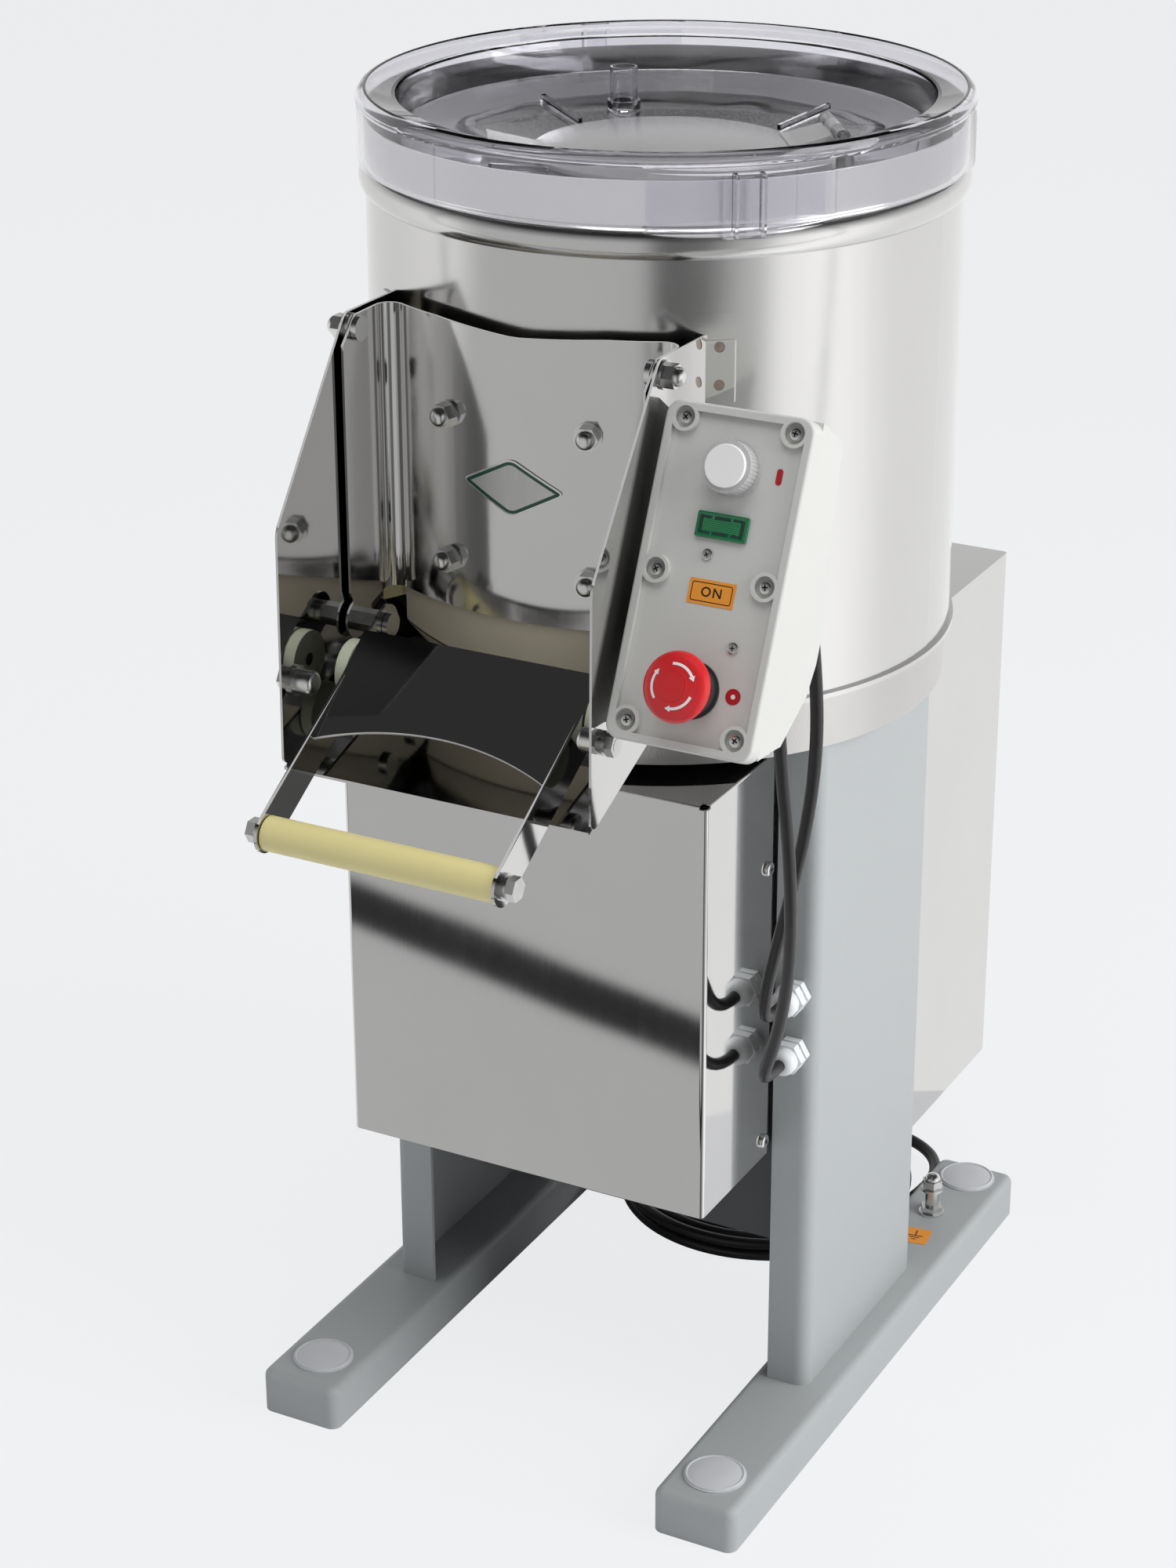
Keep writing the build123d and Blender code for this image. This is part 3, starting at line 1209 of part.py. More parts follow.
def lid():
    """The clear lid: rim, dished floor, loading throat, inlet pipe, grips and ribs."""
    wall = LID_WALL
    side_step = KNUCKLE_LENGTH + SLIP
    pockets = [grip_pocket(turn) for turn in (0, 180)]
    knuckles = [knuckle(way * side_step, KNUCKLE_LENGTH, True) for way in (-1, 1)]
    with BuildPart() as cover:
        with BuildSketch(Plane.XZ):
            with BuildLine():
                Polyline((LID_R, LID_BOTTOM), (LID_R, LID_SHOULDER))
                ThreePointArc((LID_R, LID_SHOULDER), (LID_R - 1.9, LID_CREST - 2.2),
                              (LID_CREST_R, LID_CREST))
                Polyline((LID_CREST_R, LID_CREST), (RECESS_TOP_R, RECESS_TOP), (RECESS_R, RECESS_LEVEL),
                         (FLOOR_R, FLOOR_LEVEL), (THROAT_R, FLOOR_LEVEL), (THROAT_R, FLOOR_LEVEL - 8.0),
                         (THROAT_R + wall, FLOOR_LEVEL - 8.0), (THROAT_R + wall, FLOOR_LEVEL - wall),
                         (FLOOR_R, FLOOR_LEVEL - wall), (RECESS_R + wall, RECESS_LEVEL - wall),
                         (RECESS_TOP_R + wall, RECESS_TOP - wall), (LID_CREST_R, LID_CREST - wall),
                         (LID_R - wall, LID_SHOULDER), (LID_R - wall, LID_BOTTOM), (LID_R, LID_BOTTOM))
            make_face()
        revolve(axis=Axis.Z)
        for k in range(RIB_COUNT):
            with BuildSketch(radial_plane(RIB_START + k * 360 / RIB_COUNT)):
                with BuildLine():
                    inner, outer = FLOOR_R + 4.0, 128.0
                    Polyline((inner, floor_level(inner) - 1), (outer, floor_level(outer) - 1),
                             (outer, floor_level(outer) + RIB_HEIGHT),
                             (inner, floor_level(inner) + RIB_HEIGHT), close=True)
                make_face()
            extrude(amount=1.6, both=True)
        add(pockets)
        with BuildSketch(Plane.XY.offset(FLOOR_LEVEL)):
            with Locations(INLET_POSITION):
                Circle(INLET_R)
        top = floor_level(math.hypot(*INLET_POSITION)) + INLET_HEIGHT
        extrude(amount=top - FLOOR_LEVEL)
        with BuildSketch(Plane.XY.offset(FLOOR_LEVEL)):
            with Locations(INLET_POSITION):
                Circle(INLET_R + 1.8)
        extrude(amount=top - INLET_HEIGHT + 3.0 - FLOOR_LEVEL)
        with BuildSketch(Plane.XY.offset(FLOOR_LEVEL - 2 * wall)):
            with Locations(INLET_POSITION):
                Circle(INLET_R - INLET_WALL)
        extrude(amount=INLET_HEIGHT * 3, mode=Mode.SUBTRACT)
        add(knuckles)
        with BuildSketch(Plane(origin=hinge_plane().origin - hinge_plane().x_dir * 2 * KNUCKLE_LENGTH,
                               x_dir=hinge_plane().y_dir, z_dir=hinge_plane().x_dir)):
            Circle(FLAP_PIN_R)
        extrude(amount=4 * KNUCKLE_LENGTH, mode=Mode.SUBTRACT)
    save(cover.part, "lid")


def grip_pocket(turn):
    """A hollow bulge of the lid's skirt, with an upright key in its middle."""
    start, end = math.radians(BULGE_START + turn), math.radians(BULGE_END + turn)
    half = (start + end) / 2
    proud = LID_R + BULGE_RISE
    inset = math.radians(1.6)

    def at(radius, angle):
        return (radius * math.cos(angle), radius * math.sin(angle))

    key = Plane(origin=(*at(proud - LID_WALL / 2, half), LID_BOTTOM - 2), x_dir=(*at(1, half), 0),
                z_dir=(0, 0, 1))
    with BuildPart() as pocket:
        with BuildSketch(Plane.XY.offset(LID_BOTTOM)):
            with BuildLine():
                ThreePointArc(at(LID_R - 1, start), at(proud, half), at(LID_R - 1, end))
                ThreePointArc(at(LID_R - 1, end), at(LID_R - 1, half), at(LID_R - 1, start))
            make_face()
        extrude(amount=BULGE_TOP - LID_BOTTOM)
        with BuildSketch(Plane.XY.offset(LID_BOTTOM)):
            with BuildLine():
                ThreePointArc(at(LID_R, start + inset), at(proud - LID_WALL, half), at(LID_R, end - inset))
                ThreePointArc(at(LID_R, end - inset), at(LID_R, half), at(LID_R, start + inset))
            make_face()
        extrude(amount=BULGE_TOP - LID_BOTTOM - LID_WALL, mode=Mode.SUBTRACT)
        with BuildSketch(key):
            with Locations((KEY_DEPTH / 2, 0)):
                Rectangle(KEY_DEPTH, KEY_WIDTH)
            with Locations((KEY_DEPTH / 2 - 1.25, 0)):
                Rectangle(KEY_DEPTH - 2.5, KEY_WIDTH - 5, mode=Mode.SUBTRACT)
        extrude(amount=BULGE_TOP - LID_BOTTOM + 1)
    return pocket.part


def flap_pin():
    """The pin of the flap's hinge."""
    base = hinge_plane()
    across = Plane(origin=base.origin, x_dir=base.y_dir, z_dir=base.x_dir)
    reach = KNUCKLE_LENGTH * 1.5 + SLIP
    save(turned(across, [(FLAP_PIN_R, -reach, reach), (FLAP_PIN_R + 1.2, reach, reach + 1.2)]), "flap_pin")


def loading_flap():
    """The domed flap over the throat, with a strap up to the hinge and a lifting tab."""
    under = FLOOR_LEVEL + SLIP
    base = hinge_plane()
    lean = math.radians(HINGE_ANGLE)
    with BuildPart() as flap:
        with BuildSketch(Plane.XZ):
            with BuildLine():
                half = FLAP_R / 2
                rise = under + dome_level(half, FLAP_DOME, FLAP_R - 4)
                ThreePointArc((FLAP_R - 4, under), (half, rise), (0, under + FLAP_DOME))
                top = under + FLAP_THICK
                rise = top + dome_level(half, FLAP_DOME, FLAP_R)
                ThreePointArc((FLAP_R, top), (half, rise), (0, top + FLAP_DOME))
                Line((0, top + FLAP_DOME), (0, under + FLAP_DOME))
                Polyline((FLAP_R - 4, under), (FLAP_R, under), (FLAP_R, top))
            make_face()
        revolve(axis=Axis.Z)
        for angle, reach, width in ((HINGE_ANGLE, HINGE_R - 2.0, 36.0), (TAB_ANGLE, HINGE_R + 4.0, 30.0)):
            with BuildSketch(radial_plane(angle)):
                with BuildLine():
                    inner = FLAP_R - 8.0
                    lift = floor_level(reach) + HINGE_RISE - 1.6
                    Polyline((inner, under + 2.0), (FLAP_R - 2, under + 2.0), (reach, lift),
                             (reach, lift + FLAP_THICK), (FLAP_R - 3, under + 2.2 + FLAP_THICK),
                             (inner, under + 2.2 + FLAP_THICK), close=True)
                make_face()
            extrude(amount=width / 2, both=True)
        with BuildSketch(Plane(origin=base.origin - base.x_dir * KNUCKLE_LENGTH / 2,
                               x_dir=base.y_dir, z_dir=base.x_dir)):
            Circle(KNUCKLE_R)
        extrude(amount=KNUCKLE_LENGTH)
        for way in (-1, 1):
            middle = base.origin + base.x_dir * way * (KNUCKLE_LENGTH + SLIP)
            with BuildSketch(Plane(origin=middle - base.x_dir * (KNUCKLE_LENGTH / 2 + SLIP),
                                   x_dir=base.y_dir, z_dir=base.x_dir)):
                Circle(KNUCKLE_R + SLIP)
                Rectangle(2 * KNUCKLE_R + 2 * SLIP, 30)
            extrude(amount=KNUCKLE_LENGTH + 2 * SLIP, mode=Mode.SUBTRACT)
        with BuildSketch(Plane(origin=base.origin - base.x_dir * KNUCKLE_LENGTH,
                               x_dir=base.y_dir, z_dir=base.x_dir)):
            Circle(FLAP_PIN_R + RUN)
        extrude(amount=2 * KNUCKLE_LENGTH, mode=Mode.SUBTRACT)
    save(flap.part, "loading_flap")


# ---------------------------------------------------------------------------
# Control box
# ---------------------------------------------------------------------------

lean_angle = math.radians(BOX_LEAN)
FACE = Plane(origin=BOX_CORNER, x_dir=(1, 0, 0), z_dir=(0, -math.cos(lean_angle), math.sin(lean_angle)))


def face_spot(place, height):
    """A plane parallel to the box's face, at a place on it and a height above it."""
    return Plane(origin=FACE.from_local_coords(Vector(*place, height)), x_dir=FACE.x_dir, z_dir=FACE.z_dir)


def lid_screw_places():
    """The six places of the box lid's screws on its face."""
    return [(BOX_WIDTH / 2 + way * LID_SCREW_SPAN_X / 2, LID_SCREW_Y + row * LID_SCREW_SPAN_Y)
            for row in (-1, 0, 1) for way in (-1, 1)]


def control_lid():
    """The box's lid: a raised rim that runs round its six screws, and a sunk panel."""
    with BuildPart() as plate:
        with BuildSketch(face_spot((0, 0), -BOX_LID)):
            with Locations((BOX_WIDTH / 2, BOX_LENGTH / 2)):
                RectangleRounded(BOX_WIDTH, BOX_LENGTH, BOX_ROUND)
        extrude(amount=BOX_LID)
        fillet(plate.faces().sort_by(Axis(FACE.origin, FACE.z_dir))[-1].edges(), 1.6)
        with BuildSketch(FACE):
            with Locations((BOX_WIDTH / 2, BOX_LENGTH / 2)):
                RectangleRounded(BOX_WIDTH - 2 * BOX_RIM, BOX_LENGTH - 2 * BOX_RIM, BOX_ROUND - BOX_RIM)
            with Locations(*lid_screw_places()):
                Circle(8.2, mode=Mode.SUBTRACT)
        extrude(amount=-PANEL_DEPTH, mode=Mode.SUBTRACT)
        with BuildSketch(FACE):
            with Locations(*lid_screw_places()):
                Circle(6.2)
        extrude(amount=-PANEL_DEPTH - 1.0, mode=Mode.SUBTRACT)
        with BuildSketch(FACE):
            with Locations(*lid_screw_places()):
                Circle(2.1)
            with Locations(BUTTON_POS, ESTOP_POS):
                Circle(BUTTON_HOLE_R)
            with Locations(LENS_POS):
                Rectangle(LENS_SIZE[0] - 2, LENS_SIZE[1] - 2)
            with Locations(*FACE_SCREWS):
                Circle(1.6)
        extrude(amount=-BOX_LID, mode=Mode.SUBTRACT)
    save(plate.part, "control_lid")


def box_profile(inset):
    """The body's outline seen from its side, along and behind the face."""
    return [(3.0 + inset, -BOX_LID), (9.5 + inset, -30.0), (13.0 + inset, -41.0), (43.0, -64.0 + inset),
            (62.0, -BOX_LOW_DEPTH + inset), (BOX_SPLIT - 3, -BOX_LOW_DEPTH + inset),
            (BOX_SPLIT, -BOX_MID_DEPTH + inset), (BOX_LENGTH - 7 - inset, -BOX_TOP_DEPTH + inset),
            (BOX_LENGTH - inset, -BOX_LID)]


def control_body():
    """The box's deep body, hollow, with cable holes below and behind."""
    with BuildPart() as body:
        side = Plane(origin=BOX_CORNER, x_dir=FACE.y_dir, z_dir=(1, 0, 0))
        flip = -1 if side.y_dir.dot(FACE.z_dir) < 0 else 1
        for inset, start, mode in ((0, 1.0, Mode.ADD), (2.5, 3.5, Mode.SUBTRACT)):
            with BuildSketch(side.offset(start)):
                with BuildLine():
                    Polyline([(u, flip * d) for u, d in box_profile(inset)], close=True)
                make_face()
            extrude(amount=BOX_WIDTH - 2 * start, mode=mode)
        with BuildSketch(face_spot((0, 0), -BOX_LID)):
            for x, y in lid_screw_places():
                wall = 1.0 if x < BOX_WIDTH / 2 else BOX_WIDTH - 1.0
                with Locations(((x + wall) / 2, y)):
                    Rectangle(abs(x - wall), 8.0)
                with Locations((x, y)):
                    Circle(5.0)
        extrude(amount=-14.0)
        with BuildSketch(face_spot((0, 0), -BOX_LID)):
            with Locations(*lid_screw_places()):
                Circle(2.1)
        extrude(amount=-12.0, mode=Mode.SUBTRACT)
    save(body.part, "control_body")


def control_screws():
    """Cross-head screws: six hold the lid and two small ones hold the contact rail."""
    screws = [pan_screw(face_spot(place, -PANEL_DEPTH - 1.0), 2.05, BOX_LID + 4.0)
              for place in lid_screw_places()]
    screws += [turned(face_spot(place, -PANEL_DEPTH), [(3.4, 0, 0.8), (1.6, -8.0, 0)])
               for place in FACE_SCREWS]
    save_group(screws, "control_screws")


def indicator_lens():
    """The green lens of the mains lamp."""
    with BuildPart() as lens:
        with BuildSketch(face_spot(LENS_POS, -PANEL_DEPTH)):
            RectangleRounded(*LENS_SIZE, 1.2)
        extrude(amount=2.4)
        fillet(lens.faces().sort_by(Axis(FACE.origin, FACE.z_dir))[-1].edges(), 0.8)
        with BuildSketch(face_spot(LENS_POS, -PANEL_DEPTH)):
            Rectangle(LENS_SIZE[0] - 2.2, LENS_SIZE[1] - 2.2)
        extrude(amount=-8.0)
    save(lens.part, "indicator_lens")


def start_button():
    """The flush start button and the knurled ring it slides in."""
    base = face_spot(BUTTON_POS, -PANEL_DEPTH)
    with BuildPart() as bezel:
        with BuildSketch(base):
            Circle(BEZEL_R)
            with PolarLocations(BEZEL_R + 0.2, 40):
                Circle(0.55, mode=Mode.SUBTRACT)
        extrude(amount=BEZEL_HEIGHT)
        with BuildSketch(base):
            Circle(BEZEL_R + 1.4)
        extrude(amount=1.6)
        with BuildSketch(base):
            Circle(BUTTON_HOLE_R)
        extrude(amount=-BOX_LID - 6.0 + PANEL_DEPTH)
        with BuildSketch(base.offset(-BOX_LID - 6.0 + PANEL_DEPTH)):
            Circle(7.0 + RUN)
        extrude(amount=60.0, mode=Mode.SUBTRACT)
        with BuildSketch(base.offset(BEZEL_HEIGHT - BUTTON_TRAVEL - 5.0)):
            Circle(BUTTON_R + RUN)
        extrude(amount=40.0, mode=Mode.SUBTRACT)
    save(bezel.part, "button_bezel")
    with BuildPart() as cap:
        with BuildSketch(base.offset(BEZEL_HEIGHT - 4.0)):
            Circle(BUTTON_R)
        extrude(amount=4.0 + BUTTON_PROUD)
        fillet(cap.faces().sort_by(Axis(FACE.origin, FACE.z_dir))[-1].edges(), 0.8)
        with BuildSketch(base.offset(BEZEL_HEIGHT - 4.0)):
            Circle(7.0)
        extrude(amount=-14.0)
    save(cap.part, "start_button")


def emergency_stop():
    """The mushroom head, the stem that it twists on and the collar that guides it."""
    base = face_spot(ESTOP_POS, -PANEL_DEPTH)
    with BuildPart() as collar:
        with BuildSketch(base):
            Circle(ESTOP_COLLAR_R)
        extrude(amount=8.0)
        with BuildSketch(base):
            Circle(ESTOP_COLLAR_R + 1.4)
        extrude(amount=1.6)
        with BuildSketch(base):
            Circle(BUTTON_HOLE_R)
        extrude(amount=-BOX_LID - 6.0 + PANEL_DEPTH)
        with BuildSketch(base.offset(-BOX_LID - 6.0 + PANEL_DEPTH)):
            Circle(ESTOP_STEM_R + RUN)
        extrude(amount=60.0, mode=Mode.SUBTRACT)
    save(collar.part, "estop_collar")
    save(turned(base, [(ESTOP_STEM_R, -9.0, 17.0)]), "estop_stem")
    with BuildPart() as head:
        with BuildSketch(Plane(origin=base.origin, x_dir=base.x_dir, z_dir=-base.y_dir)):
            with BuildLine():
                low, high = 8.0 + ESTOP_TRAVEL + 0.6, 28.0
                Polyline((4.0, high), (0, high), (0, low), (12.5, low), (15.5, low + 3.5),
                         (19.0, low + 5.0),
                         (ESTOP_R, low + 7.5))
                ThreePointArc((ESTOP_R, low + 7.5), (18.3, high - 3.4), (14.0, high - 1.4))
                ThreePointArc((14.0, high - 1.4), (9.0, high - 0.4), (4.0, high))
            make_face()
        revolve(axis=Axis(base.origin, base.z_dir))
        with BuildSketch(base.offset(0)):
            Circle(ESTOP_STEM_R + RUN)
        extrude(amount=17.0 + SLIP, mode=Mode.SUBTRACT)
    save(head.part, "estop_head")


def control_bracket():
    """The bent sheet that carries the box: one leg on the chute's wall, one behind the box."""
    low, high = 50.0, 90.0
    reach = 70.0
    wall = CHUTE_IN + CHUTE_SHEET
    leg = [FACE.from_local_coords(Vector(0, u, -d)) for u, d in
           ((low, 30), (high, 30), (high, BOX_LOW_DEPTH + 2), (low, BOX_LOW_DEPTH + 2))]
    with BuildPart() as bracket:
        with BuildSketch(Plane.YZ.offset(wall)):
            with BuildLine():
                Polyline([(point.Y, point.Z) for point in leg], close=True)
            make_face()
        extrude(amount=2.0)
        with BuildSketch(face_spot((0, 0), -BOX_LOW_DEPTH)):
            with Locations(((reach + wall - BOX_CORNER[0]) / 2, (low + high) / 2)):
                Rectangle(reach - wall + BOX_CORNER[0], high - low)
        extrude(amount=-2.0)
    save(bracket.part, "control_bracket")


# ---------------------------------------------------------------------------
# Cables
# ---------------------------------------------------------------------------

def gland(plane):
    """A hexagonal cable gland: flange hexagon, cap hexagon and rounded nose."""
    with BuildPart() as nose:
        with BuildSketch(plane.offset(12.0)):
            Circle(GLAND_HEX * 0.46)
        extrude(amount=GLAND_LENGTH - 12.0)
        fillet(nose.faces().sort_by(Axis(plane.origin, plane.z_dir))[-1].edges(), 4.5)
    return (hexed(plane, GLAND_HEX, 0, 5.0) + turned(plane, [(GLAND_HEX * 0.44, 5.0, 7.0)])
            + hexed(plane, GLAND_HEX, 7.0, 13.0) + nose.part)


def cable_glands():
    """Glands: two on the right upright's front flange, one in the rear cover's floor."""
    planes = [Plane(origin=(GLAND_X, UPRIGHT_FRONT, level), x_dir=(1, 0, 0), z_dir=(0, -1, 0))
              for level in GLAND_LEVELS]
    planes.append(Plane(origin=(*MAINS_GLAND, REAR_COVER_BOTTOM), x_dir=(1, 0, 0), z_dir=(0, 0, -1)))
    save_group([gland(plane) for plane in planes], "cable_glands")


def tube_along(points, radius, name):
    """A cord: straight runs joined by arcs as large as the runs allow."""
    spots = [Vector(*point) for point in points]
    radii = []
    for before, here, after in zip(spots, spots[1:], spots[2:]):
        turn = math.radians((here - before).get_angle(after - here))
        shorter = min((here - before).length, (after - here).length)
        radii.append(0.45 * shorter / math.tan(turn / 2))
    print(name, "radii", [round(value) for value in radii])
    with BuildPart() as cord:
        with BuildLine() as path:
            FilletPolyline(*points, radius=radii)
        with BuildSketch(Plane(origin=points[0], z_dir=spots[1] - spots[0])):
            Circle(radius)
        sweep()
    length = sum(edge.length for edge in path.edges())
    print(name, "length", round(length), "volume ratio",
          round(cord.part.volume / (math.pi * radius ** 2 * length), 4))
    return cord.part


GLAND_MOUTH = UPRIGHT_FRONT - GLAND_LENGTH
CABLE_A = [(176, -160, 592), (180, -159, 552), (181, -161, 508), (176, -163, 462), (167, -162, 420),
           (157, -158, 382), (148, -152, 350), (GLAND_X, -142, GLAND_LEVELS[0]),
            (GLAND_X, GLAND_MOUTH, GLAND_LEVELS[0])]
CABLE_B = [(184, -222, 566), (186, -221, 530), (188, -214, 486), (186, -203, 440), (180, -189, 396),
           (170, -174, 354), (157, -160, 314), (GLAND_X, -146, GLAND_LEVELS[1]),
            (GLAND_X, GLAND_MOUTH, GLAND_LEVELS[1])]
MAINS = [(*MAINS_GLAND, REAR_COVER_BOTTOM - GLAND_LENGTH), (*MAINS_GLAND, 54), (19, 264, 34),
         (33, 272.5, 19.5), (56, 278, 11), (80, 274, 9.5), (99, 259.5, 9.5), (109.5, 237.5, 9.5),
         (109.5, 213, 9), (102, 191, 4.6)]
MAINS_TAIL = [(-76, 107, 13), (-96, 140, 18), (-93, 178, 22.5), (-73, 209, 23), (-44, 225.6, 22),
              (-20, 228.6, 20), (1, 224.8, 19)]


def cables():
    """The two control cables, and the mains cord on both sides of its coil."""
    save(tube_along(CABLE_A, CONTROL_CABLE_R, "control_cable_a"), "control_cable_a")
    save(tube_along(CABLE_B, CONTROL_CABLE_R, "control_cable_b"), "control_cable_b")
    save_group([tube_along(MAINS, MAINS_R, "mains_cord"),
                tube_along(MAINS_TAIL, MAINS_R, "mains_tail")], "mains_cord")


def mains_coil():
    """The outer shape of the coiled mains cord on the floor."""
    with BuildPart() as coil:
        with BuildSketch(Plane.XZ.offset(-COIL_Y)):
            with Locations(((COIL_IN + COIL_OUT) / 2, COIL_HEIGHT / 2)):
                RectangleRounded(COIL_OUT - COIL_IN, COIL_HEIGHT, 8.0)
        revolve(axis=Axis((0, COIL_Y, 0), (0, 0, 1)))
    save(coil.part, "mains_coil")


def mains_plug():
    """A moulded two-pin plug at the cord's end."""
    end, before = Vector(*MAINS_TAIL[-1]), Vector(*MAINS_TAIL[-2])
    way = Vector(end.X - before.X, end.Y - before.Y, 0).normalized()
    plane = Plane(origin=(end.X, end.Y, 19.0), x_dir=way.cross(Vector(0, 0, 1)), z_dir=way)
    with BuildPart() as plug:
        with BuildSketch(plane):
            Circle(9.0)
        with BuildSketch(plane.offset(26.0)):
            Circle(18.5)
        loft()
        with BuildSketch(plane.offset(26.0)):
            Circle(18.5)
        extrude(amount=16.0)
        with BuildSketch(plane.offset(42.0)):
            with GridLocations(19.0, 0, 2, 1):
                Circle(2.4)
        extrude(amount=19.0)
    save(plug.part, "mains_plug")


rail(-1, "rail_left")
rail(1, "rail_right")
rail_caps()
upright(-1, "upright_left")
upright(1, "upright_right")
front_plate()
earth_stud()
front_cover()
rear_cover()
cover_screws()
drum_shell()
base_pan()
drain_spout()
abrasive_lining()
bearings()
bearing_housing()
machine_bolts()
shaft_seal()
spindle()
abrasive_disc()
disc_nut()
pulley((0, 0), PULLEY_R, SPINDLE_R, "driven_pulley")
pulley((0, MOTOR_Y), MOTOR_PULLEY_R, MOTOR_SHAFT_R, "motor_pulley")
drive_belt()
motor_plate()
motor_body()
motor_shaft()
chute_wall(-1, "chute_wall_left")
chute_wall(1, "chute_wall_right")
chute_tray()
stop_pins()
door_sheet()
door_liner()
door_bolts()
door_pivots()
lever()
lever_pivots()
roller(-1, "roller_left")
roller(1, "roller_right")
grip()
lever_bolts()
lid()
flap_pin()
loading_flap()
control_lid()
control_body()
control_screws()
indicator_lens()
start_button()
emergency_stop()
control_bracket()
cable_glands()
cables()
mains_coil()
mains_plug()
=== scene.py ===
import math

import bmesh
import bpy
from mathutils import Matrix, Vector


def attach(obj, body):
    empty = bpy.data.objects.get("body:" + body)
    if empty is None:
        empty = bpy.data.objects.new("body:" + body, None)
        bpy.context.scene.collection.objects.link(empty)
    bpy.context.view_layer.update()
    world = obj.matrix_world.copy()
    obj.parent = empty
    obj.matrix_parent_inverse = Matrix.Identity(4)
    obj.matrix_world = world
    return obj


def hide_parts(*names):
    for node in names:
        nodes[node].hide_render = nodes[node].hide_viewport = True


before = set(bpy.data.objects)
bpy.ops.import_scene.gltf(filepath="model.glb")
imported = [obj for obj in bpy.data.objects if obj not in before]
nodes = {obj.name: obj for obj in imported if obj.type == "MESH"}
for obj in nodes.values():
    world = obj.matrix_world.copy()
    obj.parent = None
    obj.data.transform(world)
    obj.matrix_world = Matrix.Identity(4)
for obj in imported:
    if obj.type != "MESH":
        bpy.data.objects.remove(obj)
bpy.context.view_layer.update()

MM = 0.001
TURN = 2 * math.pi

# Camera: where it stands, which way it looks, and its focal length in picture heights
CAMERA_PLACE = Vector((0.9341, -1.8598, 1.3135))
CAMERA_YAW = math.radians(28.0)
CAMERA_PITCH = math.radians(-23.8)
CAMERA_ROLL = math.radians(-0.2)
FOCAL_HEIGHTS = 4434.1 / 2000
SENSOR_HEIGHT = 36.0

# Colours, linear
PAPER = (0.888, 0.896, 0.913)
PAINT_GREY = (0.375, 0.395, 0.40)
SHEET_STEEL = (0.66, 0.655, 0.65)
CAST_ALLOY = (0.60, 0.59, 0.58)
BOX_GREY = (0.575, 0.58, 0.555)
GLAND_WHITE = (0.74, 0.76, 0.77)
JACKET_BLACK = (0.014, 0.0135, 0.015)
GRIP_YELLOW = (0.78, 0.70, 0.33)
ROLLER_GREEN = (0.62, 0.66, 0.50)
SIGNAL_RED = (0.60, 0.018, 0.022)
LABEL_ORANGE = (0.83, 0.31, 0.03)
LENS_GREEN = (0.010, 0.13, 0.050)
CREAM = (0.72, 0.66, 0.52)

# The control box: its face's lower left corner and how far it leans back
BOX_CORNER = Vector((0.108, -0.289, 0.5599))
BOX_LEAN = math.radians(24.7)

# Places on that face in millimetres, to the right of the corner and up from it, and levels above its rim
PANEL_LEVEL = -3.0
RIM_SCREW_LEVEL = -4.0
RIM_SCREWS = [(11.75, 11.5), (78.25, 11.5), (11.75, 96.7), (78.25, 96.7), (11.75, 181.9), (78.25, 181.9)]
RIM_SCREW_TURNS = [20, 65, 35, 10, 50, 80]
PANEL_SCREWS = [(40.0, 109.0), (66.0, 60.9)]
PANEL_SCREW_TURNS = [32, 5]
LAMP_PLACE = (46.0, 125.3)
LABEL_PLACE = (47.0, 88.5)
START_MARK_PLACE = (73.3, 157.3)
STOP_MARK_PLACE = (71.6, 34.9)
STOP_PLACE = (46.9, 34.4)
STOP_RING_RISE = 27.62
STOP_TOP_RISE = 31.0
ARROW_REACH = 12.4
ARROW_WIDTH = 1.5
ARROW_SWEEP = 66.0
ARROW_STARTS = (100, -20, -140)

# The lamp's dark bars: middle across, middle up, width and height. And how often its screen's dots repeat
LAMP_BARS = [(0, 4.2, 9.5, 1.9), (0, -4.2, 9.5, 1.9), (-12.5, 0, 2.3, 9.6), (12.5, 0, 2.3, 9.6),
             (-9.2, 4.4, 5.6, 1.3), (9.2, 4.4, 5.6, 1.3), (-9.2, -4.4, 5.6, 1.3), (9.2, -4.4, 5.6, 1.3)]
LAMP_FLOOR = 2.18
DOT_SCALE = 300.0

# The covers' side screws: how far out they stand, and their places back and up
COVER_SIDE = 125.3
COVER_SCREWS = [(-104.0, 214.0), (-104.0, 405.0), (91.9, 130.0), (91.9, 300.0), (91.9, 450.0)]

# On the door and the drum: radius from the drum's axis, levels, and turns about it in radians
DOOR_FACE_R = 193.1
DOOR_PLATE_LEVEL = 658.4
DOOR_PLATE_TURN = -0.008
WELD_R = 183.5
TAB_LEVELS = (576.0, 640.0, 712.7)
TAB_WELD_RISES = (10.6, 33.0)
TAB_TURN = 0.6359

# The lever: how far out the inner faces of its arms are, and how far back the front corners of its plate
LEVER_ARM_IN = 76.4
LEVER_PLATE_FRONT = -296.0

# On the rails: the earth label, its sign's strokes (middle, width, height), and the caps' rims
EARTH_LABEL_PLACE = (143.5, 116.5, 30.85)
EARTH_LABEL_TURN = 8.0
EARTH_STROKES = [(0, 3.6, 0.9, 6.5), (0, 0, 11.0, 1.0), (0, -2.4, 7.2, 1.0), (0, -4.8, 3.4, 1.0)]
CAP_PLACE = (145.0, 208.4, 32.2)
CAP_RIM_R = 18.3

